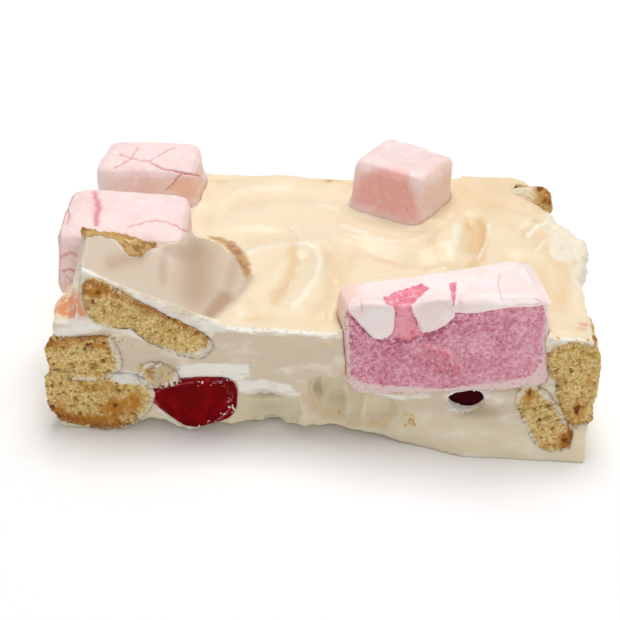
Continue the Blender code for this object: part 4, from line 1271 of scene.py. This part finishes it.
def make_biscuit(node, looks, finish):
    """A broken biscuit: porous, crumbly, browned along its crust."""
    piece = remeshed(node, looks.piece_cell)
    skin = Skin(piece)
    skin.relax(2, 0.5)
    surface = ABOVE_ALL_Z if node == "biscuit_leaning" else CLEAR_Z
    skin.fill(looks.pocket_fill + 0.35, 0.15, surface, rim=looks.rim_fill)
    salt = float(len(node))
    away = distance_from(skin.points, bpy.data.objects["chocolate_piece"], 2.0)
    rim = np.exp(-((away / 0.5) ** 2)) * soft(-skin.normals[:, 1], 0.2, 0.6)
    near = grains(skin.points, 0.85, salt)
    relief = 0.30 * ripples(skin.points, 2.4, salt) + 0.26 * ripples(skin.points, 1.0, salt + 2.0)
    relief += 0.30 * (0.45 - near) + 0.16 * ripples(skin.points, 0.5, salt + 4.0)
    pores = soft(ripples(skin.points * (1.0, 1.0, 1.4), 0.8, salt + 6.0), 0.36, 0.56)
    relief -= 0.3 * pores
    glazed = np.zeros(len(skin.u))
    if node == "biscuit_back_right":
        glazed = soft(534 - skin.u, -6.0, 6.0)
        relief *= 0.45
    covered = np.zeros(len(skin.u))
    if node in BISCUIT_SHOWN:
        covered = soft(-depth_inside(skin.u, skin.v, BISCUIT_SHOWN[node]), -1.0, 1.5) * skin.shown
        covered *= soft(-skin.normals[:, 1], 0.3, 0.6)
        relief *= 1 - 0.75 * covered
    skin.push(relief)
    crust = np.zeros(len(skin.u))
    if node in CRUSTS:
        line, width = CRUSTS[node]
        crust = skin.near(line, width)
    dark = skin.spots([(centre, half, 1.0) for centre, half in DARK_SPOTS.get(node, ())])
    crust = np.maximum(crust, (1 - skin.shown) * soft(ripples(skin.points, 5.0, 2.0), 0.1, 0.4))
    smeared = 0.7 * rim * skin.shown * (node != "biscuit_back_right")
    smeared = np.maximum(smeared, 0.62 * (node == "biscuit_crumb"))
    white = skin.patch(WHITE_PATCHES[0], 2.5) * (node == "biscuit_corner_lower")
    skin.paint(
        relief=0.5 + relief, pore=pores, crust=crust, dark=dark, smeared=smeared,
        toast=skin.spots(TOASTED), covered=covered, white=white, glazed=glazed,
    )
    finish_piece(piece, node, finish)


def make_cherry(node, looks, finish):
    """A cut piece of glace cherry."""
    piece = remeshed(node, looks.piece_cell * 0.8)
    skin = Skin(piece)
    skin.relax(6, 0.5)
    skin.fill(looks.pocket_fill, 0.1, rim=0.3 * looks.rim_fill)
    skin.push(0.14 * ripples(skin.points, 2.6, 1.0) + 0.06 * ripples(skin.points, 0.9, 2.0))
    deep = np.full(len(skin.u), float(node == "cherry_deep"))
    edge = 1 - soft(-skin.normals[:, 1], 0.75, 0.97)
    rim = np.maximum(0.6 * edge, skin.lines(CHERRY_RIM)) * (1 - deep)
    skin.paint(rim=rim, deep=deep, dust=skin.spots(CHERRY_DUST) * (1 - deep))
    finish_piece(piece, node, finish)


def field_places(draw, outline, count):
    """Random pixels inside an outline."""
    left, right = min(u for u, _ in outline), max(u for u, _ in outline)
    top, bottom = min(v for _, v in outline), max(v for _, v in outline)
    places = []
    while len(places) < count:
        u, v = draw.uniform(left, right), draw.uniform(top, bottom)
        if depth_inside(np.array([u]), np.array([v]), outline)[0] > 0:
            places.append((u, v))
    return places


def ray_through(u, v):
    """The direction from the camera's eye through a pixel."""
    across = (u - PHOTO_SIDE / 2) / LENS_PX
    down = (v - PHOTO_SIDE / 2) / LENS_PX
    return Vector(-VIEW_BACK + VIEW_RIGHT * across - VIEW_UP * down).normalized()


def make_bits(name, fields, seed, finish, grounds, flatness):
    """Loose bits lying on the pieces that carry them, joined into one piece."""
    draw = random.Random(seed)
    select_none()
    bpy.ops.mesh.primitive_ico_sphere_add(subdivisions=2, radius=1.0, location=(0, 0, 0))
    pattern = bpy.context.active_object
    trees = [tree_of(ground) for ground in grounds]
    eye = Vector(VIEW_EYE * MM)
    copies = []
    for outline, count, (smallest, largest) in fields:
        for u, v in field_places(draw, outline, count):
            hits = [tree.ray_cast(eye, ray_through(u, v)) for tree in trees]
            hits = [hit for hit in hits if hit[0] is not None]
            if not hits:
                continue
            place, normal, _, _ = min(hits, key=lambda hit: hit[3])
            size = draw.uniform(smallest, largest) * draw.uniform(0.6, 1.0) * MM
            shape = Vector((size * draw.uniform(0.7, 1.6), size * draw.uniform(0.5, 1.0), size * flatness))
            salt = draw.uniform(0, 50)
            turn = normal.to_track_quat("Z", "Y").to_matrix()
            turn = turn @ Matrix.Rotation(draw.uniform(0, math.tau), 3, "Z")
            turn = turn @ Matrix.Rotation(draw.uniform(-0.5, 0.5), 3, "X")
            bit = link(name, pattern.data.copy())
            for vert in bit.data.vertices:
                swell = 1.0 + 0.75 * noise.noise(vert.co * 1.3 + Vector((salt, 0, 0)))
                vert.co = place + turn @ (vert.co * swell * shape) + normal * size * flatness * 0.3
            copies.append(bit)
    bpy.data.objects.remove(pattern, do_unlink=True)
    only(copies[0])
    for bit in copies:
        bit.select_set(True)
    bpy.ops.object.join()
    piece = bpy.context.active_object
    piece.name = name
    bpy.ops.object.shade_smooth_by_angle(angle=math.radians(50))
    finish_piece(piece, None, finish)


def make_floor(stage):
    select_none()
    bpy.ops.mesh.primitive_plane_add(size=FLOOR_WIDTH, location=(0, 0, -0.02 * MM))
    floor = bpy.context.active_object
    floor.name = "floor"
    only(floor)
    bpy.ops.object.transform_apply(location=True)
    floor.data.materials.append(floor_finish(stage.floor))


def make_area_light(name, place, size, power):
    """A square soft light aimed at the slice."""
    light = bpy.data.lights.new(name, "AREA")
    light.size = size
    light.energy = power
    lamp = link(name, light)
    lamp.location = place
    lamp.rotation_euler = Vector(place).to_track_quat("Z", "Y").to_euler()


def make_lights(stage):
    make_area_light("key", *KEY_LIGHT, stage.key_power)
    make_area_light("fill", *FILL_LIGHT, stage.fill_power)
    world = bpy.data.worlds.new("studio")
    world.use_nodes = True
    background = world.node_tree.nodes["Background"]
    background.inputs["Color"].default_value = (1.0, 1.0, 1.0, 1.0)
    background.inputs["Strength"].default_value = stage.sky
    bpy.context.scene.world = world


def make_camera():
    data = bpy.data.cameras.new("camera")
    data.sensor_width = SENSOR_MM
    data.lens = SENSOR_MM * LENS_PX / PHOTO_SIDE
    data.clip_start = NEAREST_SEEN
    camera = link("camera", data)
    camera.location = VIEW_EYE * MM
    camera.rotation_euler = Vector(VIEW_BACK).to_track_quat("Z", "Y").to_euler()
    bpy.context.scene.camera = camera


class MakeChocolate(bpy.types.Operator):
    """Make the poured white chocolate block"""

    bl_idname = "rocky_road.chocolate"
    bl_label = "Chocolate"

    def execute(self, context):
        make_chocolate(context.scene.slice_looks)
        return {"FINISHED"}


class MakeMarshmallows(bpy.types.Operator):
    """Make the three whole marshmallows in the top"""

    bl_idname = "rocky_road.marshmallows"
    bl_label = "Marshmallows"

    def execute(self, context):
        looks = context.scene.slice_looks
        finish = skin_finish(looks)
        for node in ("marshmallow_front_left", "marshmallow_back_left", "marshmallow_back_right"):
            make_marshmallow(node, looks, finish)
        return {"FINISHED"}


class MakeCutMarshmallow(bpy.types.Operator):
    """Make the marshmallow that the knife went through"""

    bl_idname = "rocky_road.cut_marshmallow"
    bl_label = "Cut marshmallow"

    def execute(self, context):
        make_cut_marshmallow(context.scene.slice_looks)
        return {"FINISHED"}


class MakeSkinSheets(bpy.types.Operator):
    """Make the torn sheets of skin over the cut marshmallow"""

    bl_idname = "rocky_road.skin_sheets"
    bl_label = "Skin sheets"

    def execute(self, context):
        make_skin_sheets(context.scene.slice_looks)
        return {"FINISHED"}


class MakeBiscuits(bpy.types.Operator):
    """Make the broken biscuits"""

    bl_idname = "rocky_road.biscuits"
    bl_label = "Biscuits"

    def execute(self, context):
        looks = context.scene.slice_looks
        finish = biscuit_finish(looks)
        for node in sorted(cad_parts):
            if node.startswith("biscuit"):
                make_biscuit(node, looks, finish)
        return {"FINISHED"}


class MakeCherries(bpy.types.Operator):
    """Make the two pieces of cherry"""

    bl_idname = "rocky_road.cherries"
    bl_label = "Cherries"

    def execute(self, context):
        looks = context.scene.slice_looks
        finish = cherry_finish(looks)
        for node in ("cherry_front", "cherry_deep"):
            make_cherry(node, looks, finish)
        return {"FINISHED"}


class MakeBits(bpy.types.Operator):
    """Make the loose chocolate flakes and biscuit crumbs on the cut face"""

    bl_idname = "rocky_road.bits"
    bl_label = "Flakes and crumbs"

    def execute(self, context):
        looks = context.scene.slice_looks
        names = ("chocolate", "cherry_front", "marshmallow_cut", "biscuit_leaning", "biscuit_right_tall")
        grounds = [bpy.data.objects[name + "_piece"] for name in names]
        flakes = flake_finish("flakes", looks.scrape, "flake_shade")
        make_bits("chocolate_flakes", CHIP_FIELDS, 11, flakes, grounds, 0.35)
        crumbs = flake_finish("crumbs", looks.biscuit, "crumb_shade")
        make_bits("biscuit_crumbs", CRUMB_FIELDS, 23, crumbs, grounds, 0.7)
        return {"FINISHED"}


class MakeStage(bpy.types.Operator):
    """Make the floor, the lights and the camera"""

    bl_idname = "rocky_road.stage"
    bl_label = "Stage"

    def execute(self, context):
        stage = context.scene.stage_looks
        make_floor(stage)
        make_lights(stage)
        make_camera()
        context.scene.view_settings.view_transform = "Standard"
        return {"FINISHED"}


class RockyRoadPanel(bpy.types.Panel):
    """The steps that make the slice"""

    bl_idname = "VIEW3D_PT_rocky_road"
    bl_label = "Rocky road slice"
    bl_space_type = "VIEW_3D"
    bl_region_type = "UI"
    bl_category = "Rocky Road"

    def draw(self, context):
        for step in STEPS:
            self.layout.operator(step.bl_idname)


STEPS = (
    MakeChocolate, MakeMarshmallows, MakeCutMarshmallow, MakeSkinSheets,
    MakeBiscuits, MakeCherries, MakeBits, MakeStage,
)
CLASSES = (SliceLooks, StageLooks, *STEPS, RockyRoadPanel)


def register():
    for kind in CLASSES:
        bpy.utils.register_class(kind)
    bpy.types.Scene.slice_looks = bpy.props.PointerProperty(type=SliceLooks)
    bpy.types.Scene.stage_looks = bpy.props.PointerProperty(type=StageLooks)


def unregister():
    del bpy.types.Scene.stage_looks
    del bpy.types.Scene.slice_looks
    for kind in reversed(CLASSES):
        bpy.utils.unregister_class(kind)


def main():
    register()
    bpy.ops.rocky_road.chocolate()
    bpy.ops.rocky_road.marshmallows()
    bpy.ops.rocky_road.cut_marshmallow()
    bpy.ops.rocky_road.skin_sheets()
    bpy.ops.rocky_road.biscuits()
    bpy.ops.rocky_road.cherries()
    bpy.ops.rocky_road.bits()
    bpy.ops.rocky_road.stage()


if __name__ == "__main__":
    main()
